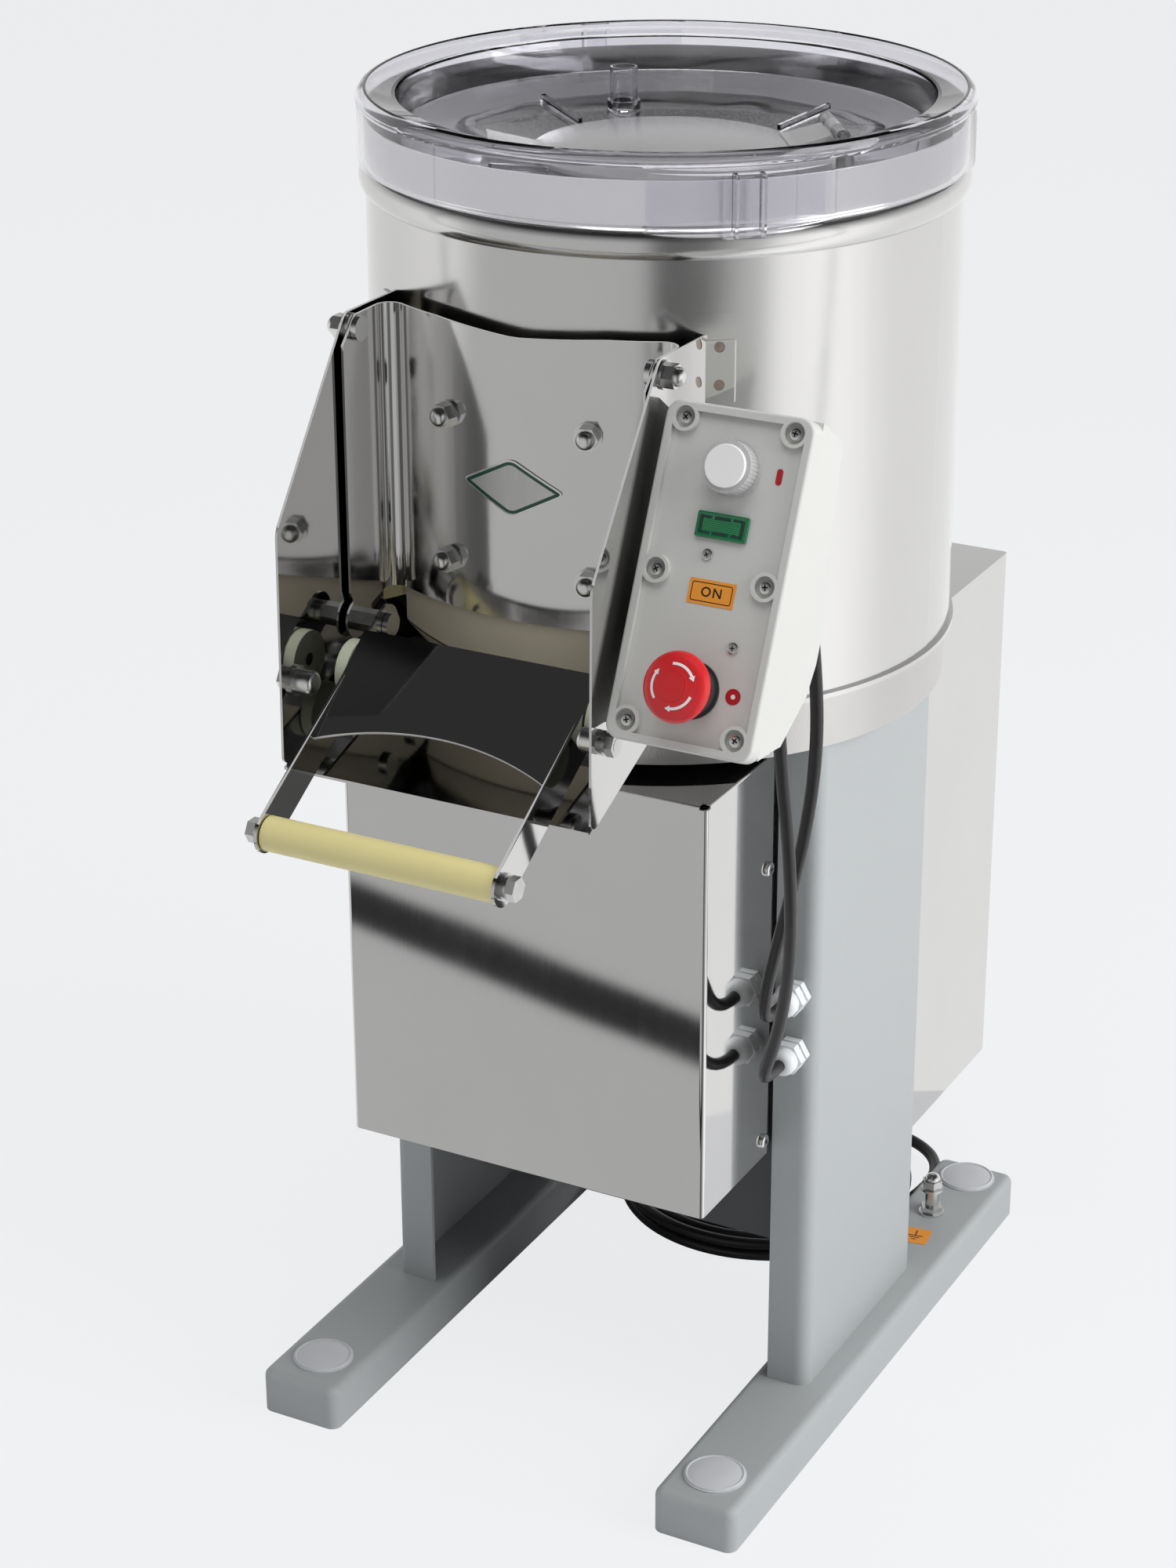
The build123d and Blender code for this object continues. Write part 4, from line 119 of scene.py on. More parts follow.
# The studio, as metal sees it: brightness by compass angle from straight ahead, and a dark gap in the floor
PAPER_GLOW = 0.90
FLOOR_DROP = 0.0002
ROOM_LEVELS = [(-180, 1.0), (-100, 0.82), (-60, 0.95), (-42, 0.57), (17, 0.56), (26, 0.13), (39, 0.16),
               (58, 0.60), (72, 1.2), (88, 1.35), (125, 1.0), (179, 1.0)]
ROOM_RADIUS = 3.2
ROOM_HOLE = 0.42
ROOM_HEIGHT = 3.0
ROOM_GROUND = 0.001
ROOM_DIM_FROM = 0.9
CEILING_LEVEL = 0.04
SKY_LEVEL = 0.33
GAP_PLACE = 0.703
GAP_SLOPE = 0.242
GAP_HALF = 0.033
GAP_LEVEL = 0.05

# Cords
CABLE_R = 3.9 * MM
MAINS_R = 4.25 * MM
CABLE_A = [(176, -160, 592), (180, -159, 552), (181, -161, 508), (176, -163, 462), (167, -162, 420),
           (157, -158, 382), (148, -152, 350), (141, -142, 318.2), (141, -115.5, 318.2)]
CABLE_B = [(184, -222, 566), (186, -221, 530), (188, -214, 486), (186, -203, 440), (180, -189, 396),
           (170, -174, 354), (157, -160, 314), (141, -146, 277.5), (141, -115.5, 277.5)]
MAINS = [(12, 258, 76), (12, 258, 54), (19, 264, 34), (33, 272.5, 19.5), (56, 278, 11), (80, 274, 9.5),
         (99, 259.5, 9.5), (109.5, 237.5, 9.5), (109.5, 213, 9), (102, 191, 4.6)]
MAINS_TAIL = [(-96, 140, 18), (-93, 178, 22.5), (-73, 209, 23), (-44, 225.6, 22), (-20, 228.6, 20),
              (1, 224.8, 19)]
COIL_CENTRE = (0, 175)
COIL_SLOTS = [(102.2, 4.6), (93.4, 4.6), (84.6, 4.6), (84.6, 13.2), (93.4, 13.2), (102.2, 13.2)]
COIL_START = 4.0
COIL_END = 222.0 - 6 * 360
COIL_STEP = 20.0
COIL_WOBBLE = 0.9
COIL_WOBBLE_START = 0.6
SHIFT_START = 150.0
SHIFT_TURN = 40.0

# The tie round the coil: its place on the ring, the bundle that it holds, and the strap
TIE_ANGLE = -30.0
TIE_RADIUS = 93.2
TIE_LEVEL = 9.2
BUNDLE_ACROSS = 29.0
BUNDLE_HIGH = 17.4
STRAP_WIDTH = 8.0
STRAP_CORNER = 4.6
STRAP_THICK = 0.45

# The mains plug: its axis above the floor, its length without the pins, and the pins
PLUG_HEIGHT = 19.0
PLUG_DEPTH = 42.0
PIN_R = 2.5
PIN_LENGTH = 19.2
PIN_SPACING = 19.0


# ---------------------------------------------------------------------------
# Finishes
# ---------------------------------------------------------------------------

class Number:
    """A number that changes over a surface. Arithmetic on it adds Math nodes."""

    def __init__(self, tree, socket):
        self.tree = tree
        self.socket = socket

    def work(self, operation, *values):
        """A Math node fed with these values."""
        node = self.tree.nodes.new("ShaderNodeMath")
        node.operation = operation
        for place, value in zip(node.inputs, values):
            if isinstance(value, Number):
                self.tree.links.new(value.socket, place)
            else:
                place.default_value = value
        return Number(self.tree, node.outputs[0])

    def __add__(self, other):
        return self.work("ADD", self, other)

    def __radd__(self, other):
        return self.work("ADD", other, self)

    def __sub__(self, other):
        return self.work("SUBTRACT", self, other)

    def __rsub__(self, other):
        return self.work("SUBTRACT", other, self)

    def __mul__(self, other):
        return self.work("MULTIPLY", self, other)

    def __rmul__(self, other):
        return self.work("MULTIPLY", other, self)

    def __truediv__(self, other):
        return self.work("DIVIDE", self, other)

    def within(self, low, high):
        """Goes from 0 at low to 1 at high, and stays there."""
        node = self.tree.nodes.new("ShaderNodeMapRange")
        node.inputs["From Min"].default_value = low
        node.inputs["From Max"].default_value = high
        self.tree.links.new(self.socket, node.inputs["Value"])
        return Number(self.tree, node.outputs[0])


class Finish:
    """A material with one Principled shader, and the nodes that vary it."""

    def __init__(self, name, colour, roughness, metallic=0.0, **fixed):
        self.material = bpy.data.materials.new(name)
        self.material.use_nodes = True
        self.tree = self.material.node_tree
        self.shader = self.tree.nodes["Principled BSDF"]
        self.place = None
        self.set("Base Color", (*colour, 1.0))
        self.set("Roughness", roughness)
        self.set("Metallic", metallic)
        for words, value in fixed.items():
            self.set(words.replace("_", " "), value)

    def set(self, socket, value):
        """Gives one of the shader's sockets a value or a link."""
        place = self.shader.inputs[socket]
        if isinstance(value, Number):
            self.tree.links.new(value.socket, place)
        else:
            place.default_value = value

    def node(self, kind, settings=None, inputs=None, output=0):
        """Adds a node: its settings first, then the values or links of its sockets."""
        node = self.tree.nodes.new("ShaderNode" + kind)
        for key, value in (settings or {}).items():
            setattr(node, key, value)
        for key, value in (inputs or {}).items():
            if isinstance(value, Number):
                self.tree.links.new(value.socket, node.inputs[key])
            else:
                node.inputs[key].default_value = value
        return Number(self.tree, node.outputs[output])

    def at(self, stretch=(1, 1, 1)):
        """The place on the object, in metres, stretched for a pattern."""
        if self.place is None:
            self.place = self.node("TexCoord", output="Object")
        if stretch == (1, 1, 1):
            return self.place
        return self.node("Mapping", {"vector_type": "POINT"}, {"Vector": self.place, "Scale": stretch})

    def noise(self, scale, stretch=(1, 1, 1), detail=2.0, rough=0.5):
        """Clouds between 0 and 1, finer as scale grows."""
        return self.node("TexNoise", None, {"Vector": self.at(stretch), "Scale": scale,
                                            "Detail": detail, "Roughness": rough})

    def along(self, axis):
        """One coordinate of the place, in metres."""
        return self.node("SeparateXYZ", None, {"Vector": self.at()}, output=axis)

    def mix(self, amount, low, high):
        """A colour between two colours."""
        node = self.tree.nodes.new("ShaderNodeMix")
        node.data_type = "RGBA"
        self.tree.links.new(amount.socket, node.inputs["Factor"])
        for key, value in (("A", low), ("B", high)):
            place = [s for s in node.inputs if s.name == key and s.type == "RGBA"][0]
            if isinstance(value, Number):
                self.tree.links.new(value.socket, place)
            else:
                place.default_value = (*value, 1.0)
        return Number(self.tree, [s for s in node.outputs if s.type == "RGBA"][0])

    def bump(self, height, depth, strength=1.0, under=None):
        """A bump of that depth in metres where height goes from 0 to 1."""
        inputs = {"Height": height, "Distance": depth, "Strength": strength}
        if under is not None:
            inputs["Normal"] = under
        return self.node("Bump", None, inputs)

    def shade(self, colour, spread, amount):
        """The colour, a little lighter and darker where amount changes."""
        low = tuple(value * (1 - spread) for value in colour)
        high = tuple(min(1.0, value * (1 + spread)) for value in colour)
        self.set("Base Color", self.mix(amount, low, high))


def sheet_finish(name, colour, gloss, grain, grain_depth, wave_depth):
    """Stainless sheet: rolling lines one way, slow waves, and a bloom of handling marks."""
    steel = Finish(name, colour, gloss, 1.0)
    lines = steel.noise(1.0, grain, 3.0)
    bloom = steel.noise(9.0, detail=5.0, rough=0.6)
    waves = steel.noise(4.5, (1.0, 1.0, 0.8), 1.0)
    steel.set("Roughness", gloss * 0.75 + lines * gloss * 0.35 + bloom.within(0.45, 0.8) * gloss * 0.5)
    steel.shade(colour, 0.045, bloom)
    under = steel.bump(waves, wave_depth)
    steel.set("Normal", steel.bump(lines, grain_depth, 0.6, under))
    return steel.material


def cut_finish():
    """A sheet's ground edge, matt enough to catch the lamps."""
    edge = Finish("cut_metal", SHEET_STEEL, 0.35, 0.15)
    lines = edge.noise(1.0, (1500.0, 1500.0, 1500.0), 2.0)
    edge.shade(SHEET_STEEL, 0.05, lines)
    edge.set("Roughness", 0.3 + lines * 0.1)
    return edge.material


def fastener_finish(name, colour, gloss):
    """Zinc plated or turned steel: fine turning marks and a faint bloom."""
    plated = Finish(name, colour, gloss, 1.0)
    bloom = plated.noise(160.0, detail=3.0)
    plated.shade(colour, 0.06, bloom)
    plated.set("Roughness", gloss - 0.05 + bloom * 0.12)
    plated.set("Normal", plated.bump(plated.noise(900.0), 0.00002))
    return plated.material


def paint_finish(name, colour, gloss, peel):
    """Stoved paint: orange peel and a faint change of tone."""
    paint = Finish(name, colour, gloss)
    tone = paint.noise(6.0, detail=3.0)
    skin = paint.noise(420.0, detail=1.0)
    paint.shade(colour, 0.035, tone)
    paint.set("Roughness", gloss - 0.05 + tone * 0.1)
    paint.set("Normal", paint.bump(skin, peel))
    return paint.material


def moulded_finish(name, colour, gloss, grain=900.0, depth=0.00004, **fixed):
    """Moulded plastic with a fine spark-eroded grain."""
    plastic = Finish(name, colour, gloss, **fixed)
    skin = plastic.noise(grain, detail=2.0)
    tone = plastic.noise(12.0, detail=2.0)
    plastic.shade(colour, 0.03, tone)
    plastic.set("Roughness", gloss - 0.04 + tone * 0.08)
    plastic.set("Normal", plastic.bump(skin, depth))
    return plastic.material


def clear_finish():
    """Clear moulded plastic, a little smoky, with slow waves in its skin."""
    clear = Finish("clear_plastic", (0.93, 0.925, 0.95), 0.03, Transmission_Weight=1.0, IOR=1.49)
    waves = clear.noise(14.0, detail=1.0)
    wipes = clear.noise(30.0, detail=4.0)
    clear.set("Roughness", wipes.within(0.5, 0.9) * 0.08 + 0.02)
    clear.set("Normal", clear.bump(waves, 0.0006))
    return clear.material


def jacket_finish():
    """The black jacket of the cables: smooth, a little dusty."""
    jacket = Finish("cable_jacket", JACKET_BLACK, 0.38)
    dust = jacket.noise(70.0, detail=4.0)
    jacket.shade(JACKET_BLACK, 0.3, dust)
    jacket.set("Roughness", dust * 0.2 + 0.3)
    jacket.set("Normal", jacket.bump(jacket.noise(260.0), 0.0001))
    return jacket.material


def grit_finish():
    """Bonded abrasive grit."""
    grit = Finish("abrasive_grit", (0.10, 0.10, 0.105), 0.75)
    grains = grit.node("TexVoronoi", None, {"Vector": grit.at(), "Scale": 520.0})
    grit.shade((0.13, 0.13, 0.135), 0.5, grains)
    grit.set("Normal", grit.bump(grains, 0.0012))
    return grit.material


def lens_finish():
    """The lamp's green lens, with the prisms inside it showing through."""
    lens = Finish("green_lens", LENS_GREEN, 0.12, Coat_Weight=0.6)
    across = lens.node("TexWave", {"wave_type": "BANDS", "bands_direction": "X"},
                       {"Vector": lens.at(), "Scale": 160.0, "Distortion": 0.0})
    lens.set("Base Color", lens.mix(across, LENS_GREEN, (0.012, 0.19, 0.07)))
    return lens.material


def screen_finish():
    """The dotted green screen of the lamp."""
    screen = Finish("lamp_screen", LENS_GREEN, 0.2, Coat_Weight=0.6)
    dots = [screen.node("TexWave", {"wave_type": "BANDS", "bands_direction": way},
                        {"Vector": screen.at(), "Scale": DOT_SCALE, "Distortion": 0.0}) for way in "XZ"]
    screen.set("Base Color", screen.mix(dots[0] * dots[1], (0.006, 0.11, 0.035), (0.03, 0.36, 0.14)))
    return screen.material


def cast_finish(name, colour, gloss, metallic):
    """Fine sand-cast metal."""
    cast = Finish(name, colour, gloss, metallic)
    sand = cast.noise(600.0, detail=3.0)
    tone = cast.noise(15.0, detail=3.0)
    cast.shade(colour, 0.08, tone)
    cast.set("Normal", cast.bump(sand, 0.00012))
    return cast.material


mirror = sheet_finish("mirror_sheet", SHEET_STEEL, 0.055, (900.0, 900.0, 12.0), 0.000003, 0.0007)
brushed = sheet_finish("drum_sheet", SHEET_STEEL, 0.17, (30.0, 30.0, 1200.0), 0.000006, 0.0005)
door_steel = sheet_finish("door_sheet_steel", SHEET_STEEL, 0.11, (1100.0, 1100.0, 20.0), 0.000004, 0.0004)
cut_metal = cut_finish()
bright = fastener_finish("bright_fastener", (0.74, 0.74, 0.73), 0.24)
# Nearly black metal for the cross recesses of the screw heads: painted shade inside the recesses.
recess_shade = fastener_finish("screw_recess_shade", (0.10, 0.10, 0.10), 0.6)
alloy = cast_finish("cast_alloy", CAST_ALLOY, 0.33, 1.0)
iron = cast_finish("cast_iron", (0.10, 0.10, 0.105), 0.6, 0.3)
# Nearly black paint for the front plate: painted shade inside the frame.
dark = paint_finish("front_plate_shade", (0.045, 0.047, 0.05), 0.5, 0.00008)
paint = paint_finish("grey_paint", PAINT_GREY, 0.42, 0.00010)
motor_paint = paint_finish("motor_paint", (0.07, 0.09, 0.11), 0.45, 0.00008)
box_plastic = moulded_finish("box_plastic", BOX_GREY, 0.46)
white = moulded_finish("white_nylon", GLAND_WHITE, 0.42, Subsurface_Weight=0.2,
                       Subsurface_Radius=(0.002, 0.002, 0.002))
cap_plastic = moulded_finish("cap_plastic", (0.56, 0.57, 0.59), 0.42, Subsurface_Weight=0.3,
                             Subsurface_Radius=(0.003, 0.003, 0.003))
cream = moulded_finish("cream_plastic", CREAM, 0.4)
milky = moulded_finish("milky_plastic", (0.72, 0.71, 0.71), 0.22, Transmission_Weight=0.72, IOR=1.49)
yellow = moulded_finish("yellow_plastic", GRIP_YELLOW, 0.36, 500.0, 0.00003)
pale_green = moulded_finish("roller_plastic", ROLLER_GREEN, 0.4)
red = moulded_finish("red_plastic", SIGNAL_RED, 0.28, 700.0, 0.00001)
charcoal = moulded_finish("dark_plastic", (0.035, 0.035, 0.038), 0.45)
ring_grey = moulded_finish("ring_plastic", (0.50, 0.50, 0.50), 0.35)
cap_white = moulded_finish("button_white", (0.86, 0.86, 0.86), 0.3)
jacket = jacket_finish()
rubber = moulded_finish("black_rubber", (0.02, 0.02, 0.021), 0.6)
grit = grit_finish()
clear = clear_finish()
green = lens_finish()
orange = moulded_finish("orange_label", LABEL_ORANGE, 0.4)
print_red = moulded_finish("printed_red", (0.42, 0.01, 0.015), 0.45)
print_black = moulded_finish("printed_black", (0.012, 0.012, 0.012), 0.45)
print_white = moulded_finish("printed_white", (0.80, 0.80, 0.80), 0.45)
enamel_green = moulded_finish("enamel_green", (0.005, 0.07, 0.045), 0.2)
satin = sheet_finish("satin_plate", (0.60, 0.60, 0.59), 0.38, (700.0, 700.0, 40.0), 0.000003, 0.0002)
weld_steel = sheet_finish("weld_steel", (0.36, 0.30, 0.26), 0.3, (300.0, 300.0, 300.0), 0.00001, 0.0002)
lamp_dark = moulded_finish("lamp_dark", (0.012, 0.045, 0.03), 0.3)
lamp_screen = screen_finish()

NODE_FINISH = {
    mirror: ["front_cover", "rear_cover", "chute_wall_left", "chute_wall_right", "chute_tray", "lever"],
    brushed: ["drum_shell", "control_bracket"],
    door_steel: ["door_sheet"],
    bright: ["cover_screws", "bearings", "machine_bolts", "stop_pins", "door_pivots", "control_screws",
             "spindle", "disc_nut", "motor_shaft", "door_bolts", "lever_pivots", "lever_bolts", "flap_pin",
             "earth_stud"],
    alloy: ["base_pan", "abrasive_disc"],
    iron: ["bearing_housing", "driven_pulley", "motor_pulley"],
    # The front plate is nearly black: painted shade inside the frame.
    dark: ["front_plate"],
    paint: ["rail_left", "rail_right", "upright_left", "upright_right", "motor_plate"],
    motor_paint: ["motor_body"],
    box_plastic: ["control_lid", "control_body"],
    white: ["cable_glands", "drain_spout"],
    cap_plastic: ["rail_caps"],
    cream: ["door_liner"],
    milky: ["loading_flap"],
    yellow: ["grip"],
    pale_green: ["roller_left", "roller_right"],
    red: ["estop_head"],
    charcoal: ["estop_collar", "estop_stem", "mains_plug"],
    ring_grey: ["button_bezel"],
    cap_white: ["start_button"],
    rubber: ["shaft_seal", "drive_belt"],
    grit: ["abrasive_lining"],
    clear: ["lid"],
    green: ["indicator_lens"],
}
for material, names in NODE_FINISH.items():
    for name in names:
        for holder in nodes[name].material_slots:
            holder.material = material


# ---------------------------------------------------------------------------
# Ways of working
# ---------------------------------------------------------------------------

def alone(obj):
    """Leaves one object selected and active."""
    bpy.ops.object.select_all(action="DESELECT")
    obj.select_set(True)
    bpy.context.view_layer.objects.active = obj


def applied(obj):
    """Puts the object's place, turn and size in its mesh."""
    alone(obj)
    bpy.ops.object.transform_apply(location=True, rotation=True, scale=True)


def made(name):
    """The object that an operator has just added, named."""
    obj = bpy.context.object
    obj.name = name
    obj.data.name = name
    return obj


def settle(obj, body, material=None, stands_for=()):
    """Puts the object's place in its mesh, gives it its finish and says what it rides on."""
    applied(obj)
    if material is not None:
        obj.data.materials.clear()
        obj.data.materials.append(material)
    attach(obj, body)
    if stands_for:
        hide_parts(*stands_for)
    return obj


def on_face(x, up, height=0.0):
    """The place and turn of a point on the control box's face, in millimetres."""
    right = Vector((1, 0, 0))
    rise = Vector((0, math.sin(BOX_LEAN), math.cos(BOX_LEAN)))
    out = Vector((0, -math.cos(BOX_LEAN), math.sin(BOX_LEAN)))
    spot = BOX_CORNER + (right * x + rise * up + out * height) * MM
    return Matrix((right, rise, out)).transposed().to_4x4(), Matrix.Translation(spot)


# ---------------------------------------------------------------------------
# Cords
# ---------------------------------------------------------------------------

def cord_piece(name, points, radius, stands_for):
    """A smooth round cord through a route given in millimetres."""
    curve = bpy.data.curves.new(name, "CURVE")
    curve.dimensions = "3D"
    line = curve.splines.new("NURBS")
    line.points.add(len(points) - 1)
    for point, place in zip(line.points, points):
        point.co = (*(value * MM for value in place), 1.0)
    line.order_u = 3
    line.use_endpoint_u = True
    line.resolution_u = 6
    curve.bevel_depth = radius
    curve.bevel_resolution = 5
    curve.use_fill_caps = True
    curve.materials.append(jacket)
    piece = bpy.data.objects.new(name, curve)
    bpy.context.scene.collection.objects.link(piece)
    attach(piece, "frame")
    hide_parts(*stands_for)
    return piece


def coil_points():
    """The turns of the coil, wound inwards on the floor and outwards on top of themselves."""
    points = []
    widen = 1 / math.cos(math.radians(COIL_STEP / 2))
    angle = COIL_START - COIL_STEP
    while angle > COIL_END:
        passed = (SHIFT_START - 360 - angle) / 360
        shift = max(0.0, min(1.0, (passed % 1.0) * 360 / SHIFT_TURN))
        slot = math.floor(passed) + shift if passed >= 0 else 0.0
        low = COIL_SLOTS[int(slot)]
        high = COIL_SLOTS[min(int(slot) + 1, len(COIL_SLOTS) - 1)]
        share = slot - int(slot)
        radius = (low[0] + (high[0] - low[0]) * share) * widen
        turn = math.radians(angle)
        wobble = COIL_WOBBLE * math.sin(2 * turn + COIL_WOBBLE_START)
        points.append((COIL_CENTRE[0] + (radius + wobble) * math.cos(turn),
                       COIL_CENTRE[1] + (radius + wobble) * math.sin(turn),
                       low[1] + (high[1] - low[1]) * share))
        angle -= COIL_STEP
    return points


cord_piece("upper_control_cable", CABLE_A, CABLE_R, ["control_cable_a"])
cord_piece("lower_control_cable", CABLE_B, CABLE_R, ["control_cable_b"])
mains = cord_piece("mains_lead", MAINS + coil_points() + MAINS_TAIL, MAINS_R, ["mains_cord", "mains_coil"])


# ---------------------------------------------------------------------------
# Screws, marks and small trim
# ---------------------------------------------------------------------------

def mesh_edit(obj, kind, wanted=None):
    """Opens the object's mesh with the faces or edges that pass the test selected."""
    alone(obj)
    bpy.ops.object.mode_set(mode="EDIT")
    pick(obj, kind, wanted)


def pick(obj, kind, wanted=None):
    """Selects the faces or edges of the open mesh that pass the test, or all of them."""
    bpy.context.tool_settings.mesh_select_mode = (False, kind == "edges", kind == "faces")
    bpy.ops.mesh.select_all(action="DESELECT")
    work = bmesh.from_edit_mesh(obj.data)
    for item in getattr(work, kind):
        if wanted is None or wanted(item):
            item.select_set(True)
    bmesh.update_edit_mesh(obj.data)


def mesh_done():
    """Closes the open mesh."""
    bpy.ops.object.mode_set(mode="OBJECT")


def smooth(obj, degrees=35):
    """Smooth shading, with creases at sharper angles."""
    alone(obj)
    bpy.ops.object.shade_smooth_by_angle(angle=math.radians(degrees))


def modified(obj, kind, **settings):
    """Adds a modifier with its settings and applies it."""
    alone(obj)
    bpy.ops.object.modifier_add(type=kind)
    modifier = obj.modifiers[-1]
    for key, value in settings.items():
        setattr(modifier, key, value)
    bpy.ops.object.modifier_apply(modifier=modifier.name)


def joined(name, pieces):
    """One object from several."""
    alone(pieces[0])
    for piece in pieces:
        piece.select_set(True)
    bpy.ops.object.join()
    pieces[0].name = name
    pieces[0].data.name = name
    return pieces[0]


def copies(name, pattern, places):
    """The pattern copied to each place, each copy with its own mesh, and the pattern removed."""
    pieces = []
    for place in places:
        piece = pattern.copy()
        piece.data = pattern.data.copy()
        bpy.context.scene.collection.objects.link(piece)
        piece.matrix_world = place
        pieces.append(piece)
    bpy.data.objects.remove(pattern)
    return joined(name, pieces)


def disc(name, radius, height, sides=40):
    """A round boss that stands on the plane of its own X and Y."""
    bpy.ops.mesh.primitive_cylinder_add(vertices=sides, radius=radius, depth=height,
                                        location=(0, 0, height / 2))
    obj = made(name)
    applied(obj)
    return obj


def plate(name, width, length, height, corner, segments=4):
    """A thin rounded plate that lies on the plane of its own X and Y."""
    bpy.ops.mesh.primitive_cube_add(size=1.0)
    obj = made(name)
    obj.scale = (width, length, height)
    obj.location = (0, 0, height / 2)
    applied(obj)
    mesh_edit(obj, "edges", lambda edge: abs(edge.verts[0].co.z - edge.verts[1].co.z) > height / 2)
    bpy.ops.mesh.bevel(offset=corner, segments=segments)
    mesh_done()
    return obj


def cross_head(name, radius, rise, recess):
    """A pan head with a cross recess, standing on the plane of its own X and Y."""
    head = disc(name, radius, rise)
    mesh_edit(head, "edges", lambda edge: all(vert.co.z > rise * 0.9 for vert in edge.verts))
    bpy.ops.mesh.bevel(offset=rise * 0.7, segments=5)
    mesh_done()
    for turn in (0, 90):
        bpy.ops.mesh.primitive_cube_add(size=1.0)
        cutter = made("cutter")
        cutter.scale = (radius * 1.15, radius * 0.26, recess * 2)
        cutter.location = (0, 0, rise)
        cutter.rotation_euler = (0, 0, math.radians(turn))
        applied(cutter)
        mesh_edit(cutter, "faces", lambda face: face.normal.z < -0.9)
        bpy.ops.transform.resize(value=(0.55, 0.55, 1.0))
        mesh_done()
        modified(head, "BOOLEAN", object=cutter, operation="DIFFERENCE")
        bpy.data.objects.remove(cutter)
    head.data.materials.append(bright)
    head.data.materials.append(recess_shade)
    # The faces inside the cross recess take the nearly black finish: painted shade in the recess.
    mesh_edit(head, "faces", lambda face: face.calc_center_median().xy.length < radius * 0.62
              and 0.1 * rise < face.calc_center_median().z < rise * 0.98)
    head.active_material_index = 1
    bpy.ops.object.material_slot_assign()
    mesh_done()
    smooth(head, 30)
    return head


def face_place(x, up, height, turn=0.0):
    """The full place of a piece that stands on the control box's face."""
    lean, move = on_face(x, up, height)
    return move @ lean @ Matrix.Rotation(math.radians(turn), 4, "Z")


def box_screws():
    """Six screws in the corners and sides of the lid, and two small ones in the panel."""
    large = cross_head("lid_screw", 4.1 * MM, 2.7 * MM, 1.6 * MM)
    large = copies("lid_screws", large, [face_place(*spot, RIM_SCREW_LEVEL, turn)
                                         for spot, turn in zip(RIM_SCREWS, RIM_SCREW_TURNS)])
    small = cross_head("panel_screw", 3.4 * MM, 1.3 * MM, 0.9 * MM)
    small = copies("panel_screws", small, [face_place(*spot, PANEL_LEVEL, turn)
                                           for spot, turn in zip(PANEL_SCREWS, PANEL_SCREW_TURNS)])
    screws = joined("box_cross_screws", [large, small])
    return settle(screws, "frame", None, ["control_screws"])


def side_screws():
    """The screws along both sides of the two covers."""
    head = cross_head("side_screw", 5.0 * MM, 2.7 * MM, 1.6 * MM)
    places = []
    for side in (-1, 1):
        outward = Matrix.Rotation(side * math.pi / 2, 4, "Y")
        for number, (y, z) in enumerate(COVER_SCREWS):
            spot = Matrix.Translation((side * COVER_SIDE * MM, y * MM, z * MM))
            places.append(spot @ outward @ Matrix.Rotation(0.5 + number, 4, "Z"))
    screws = copies("cover_cross_screws", head, places)
    return settle(screws, "frame", None, ["cover_screws"])


def wrapped(obj, radius, level, around=0.0):
    """Lays a flat piece on a cylinder about the drum's axis, its Z outwards and its Y up."""
    for vert in obj.data.vertices:
        angle = around + vert.co.x / radius
        reach = radius + vert.co.z
        vert.co = (reach * math.sin(angle), -reach * math.cos(angle), level + vert.co.y)


def door_plate():
    """A bare diamond plate on the door: a polished rim, a band of green enamel and a satin field."""
    bpy.ops.mesh.primitive_circle_add(vertices=4, radius=1.0, fill_type="NGON")
    badge = made("door_plate")
    badge.scale = (34.5 * MM, 18.0 * MM, 1.0)
    applied(badge)
    for finish in (bright, enamel_green, satin):
        badge.data.materials.append(finish)
    mesh_edit(badge, "faces")
    bpy.ops.mesh.bevel(offset=4.5 * MM, segments=4, affect="VERTICES")
    bpy.ops.mesh.extrude_region_move(TRANSFORM_OT_translate={"value": (0, 0, 0.7 * MM)})
    bpy.ops.mesh.inset(thickness=1.0 * MM, depth=0.25 * MM)
    badge.active_material_index = 1
    bpy.ops.object.material_slot_assign()
    bpy.ops.mesh.inset(thickness=2.0 * MM, depth=-0.1 * MM)
    badge.active_material_index = 2
    bpy.ops.object.material_slot_assign()
    for step in range(-6, 7):
        pick(badge, "faces")
        bpy.ops.mesh.bisect(plane_co=(step * 5.0 * MM, 0, 0), plane_no=(1, 0, 0))
    mesh_done()
    wrapped(badge, DOOR_FACE_R * MM, DOOR_PLATE_LEVEL * MM, DOOR_PLATE_TURN)
    smooth(badge, 25)
    return settle(badge, "door")


def weld_spots():
    """The pressed spot welds that hold the chute's tabs to the drum, two on each tab."""
    spots = []
    for side in (-1, 1):
        for tab in TAB_LEVELS:
            for rise in TAB_WELD_RISES:
                spot = disc("weld", 3.2 * MM, 0.25 * MM, 20)
                mesh_edit(spot, "faces", lambda face: face.normal.z > 0.9)
                bpy.ops.mesh.inset(thickness=0.7 * MM, depth=-0.15 * MM)
                bpy.ops.mesh.inset(thickness=0.9 * MM, depth=0.2 * MM)
                mesh_done()
                wrapped(spot, WELD_R * MM, (tab + rise) * MM, side * TAB_TURN)
                spots.append(spot)
    welds = joined("weld_spots", spots)
    smooth(welds)
    return settle(welds, "frame", weld_steel)


def word(text, size, spot):
    """Raised printing of a plain word or sign, centred on a spot of the plane."""
    bpy.ops.object.text_add(location=spot)
    obj = bpy.context.object
    obj.data.body = text
    obj.data.size = size
    obj.data.align_x = "CENTER"
    obj.data.align_y = "CENTER"
    obj.data.space_character = 1.2
    obj.data.extrude = 0.05 * MM
    obj.data.offset = 0.12 * MM
    alone(obj)
    bpy.ops.object.convert(target="MESH")
    applied(obj)
    return obj


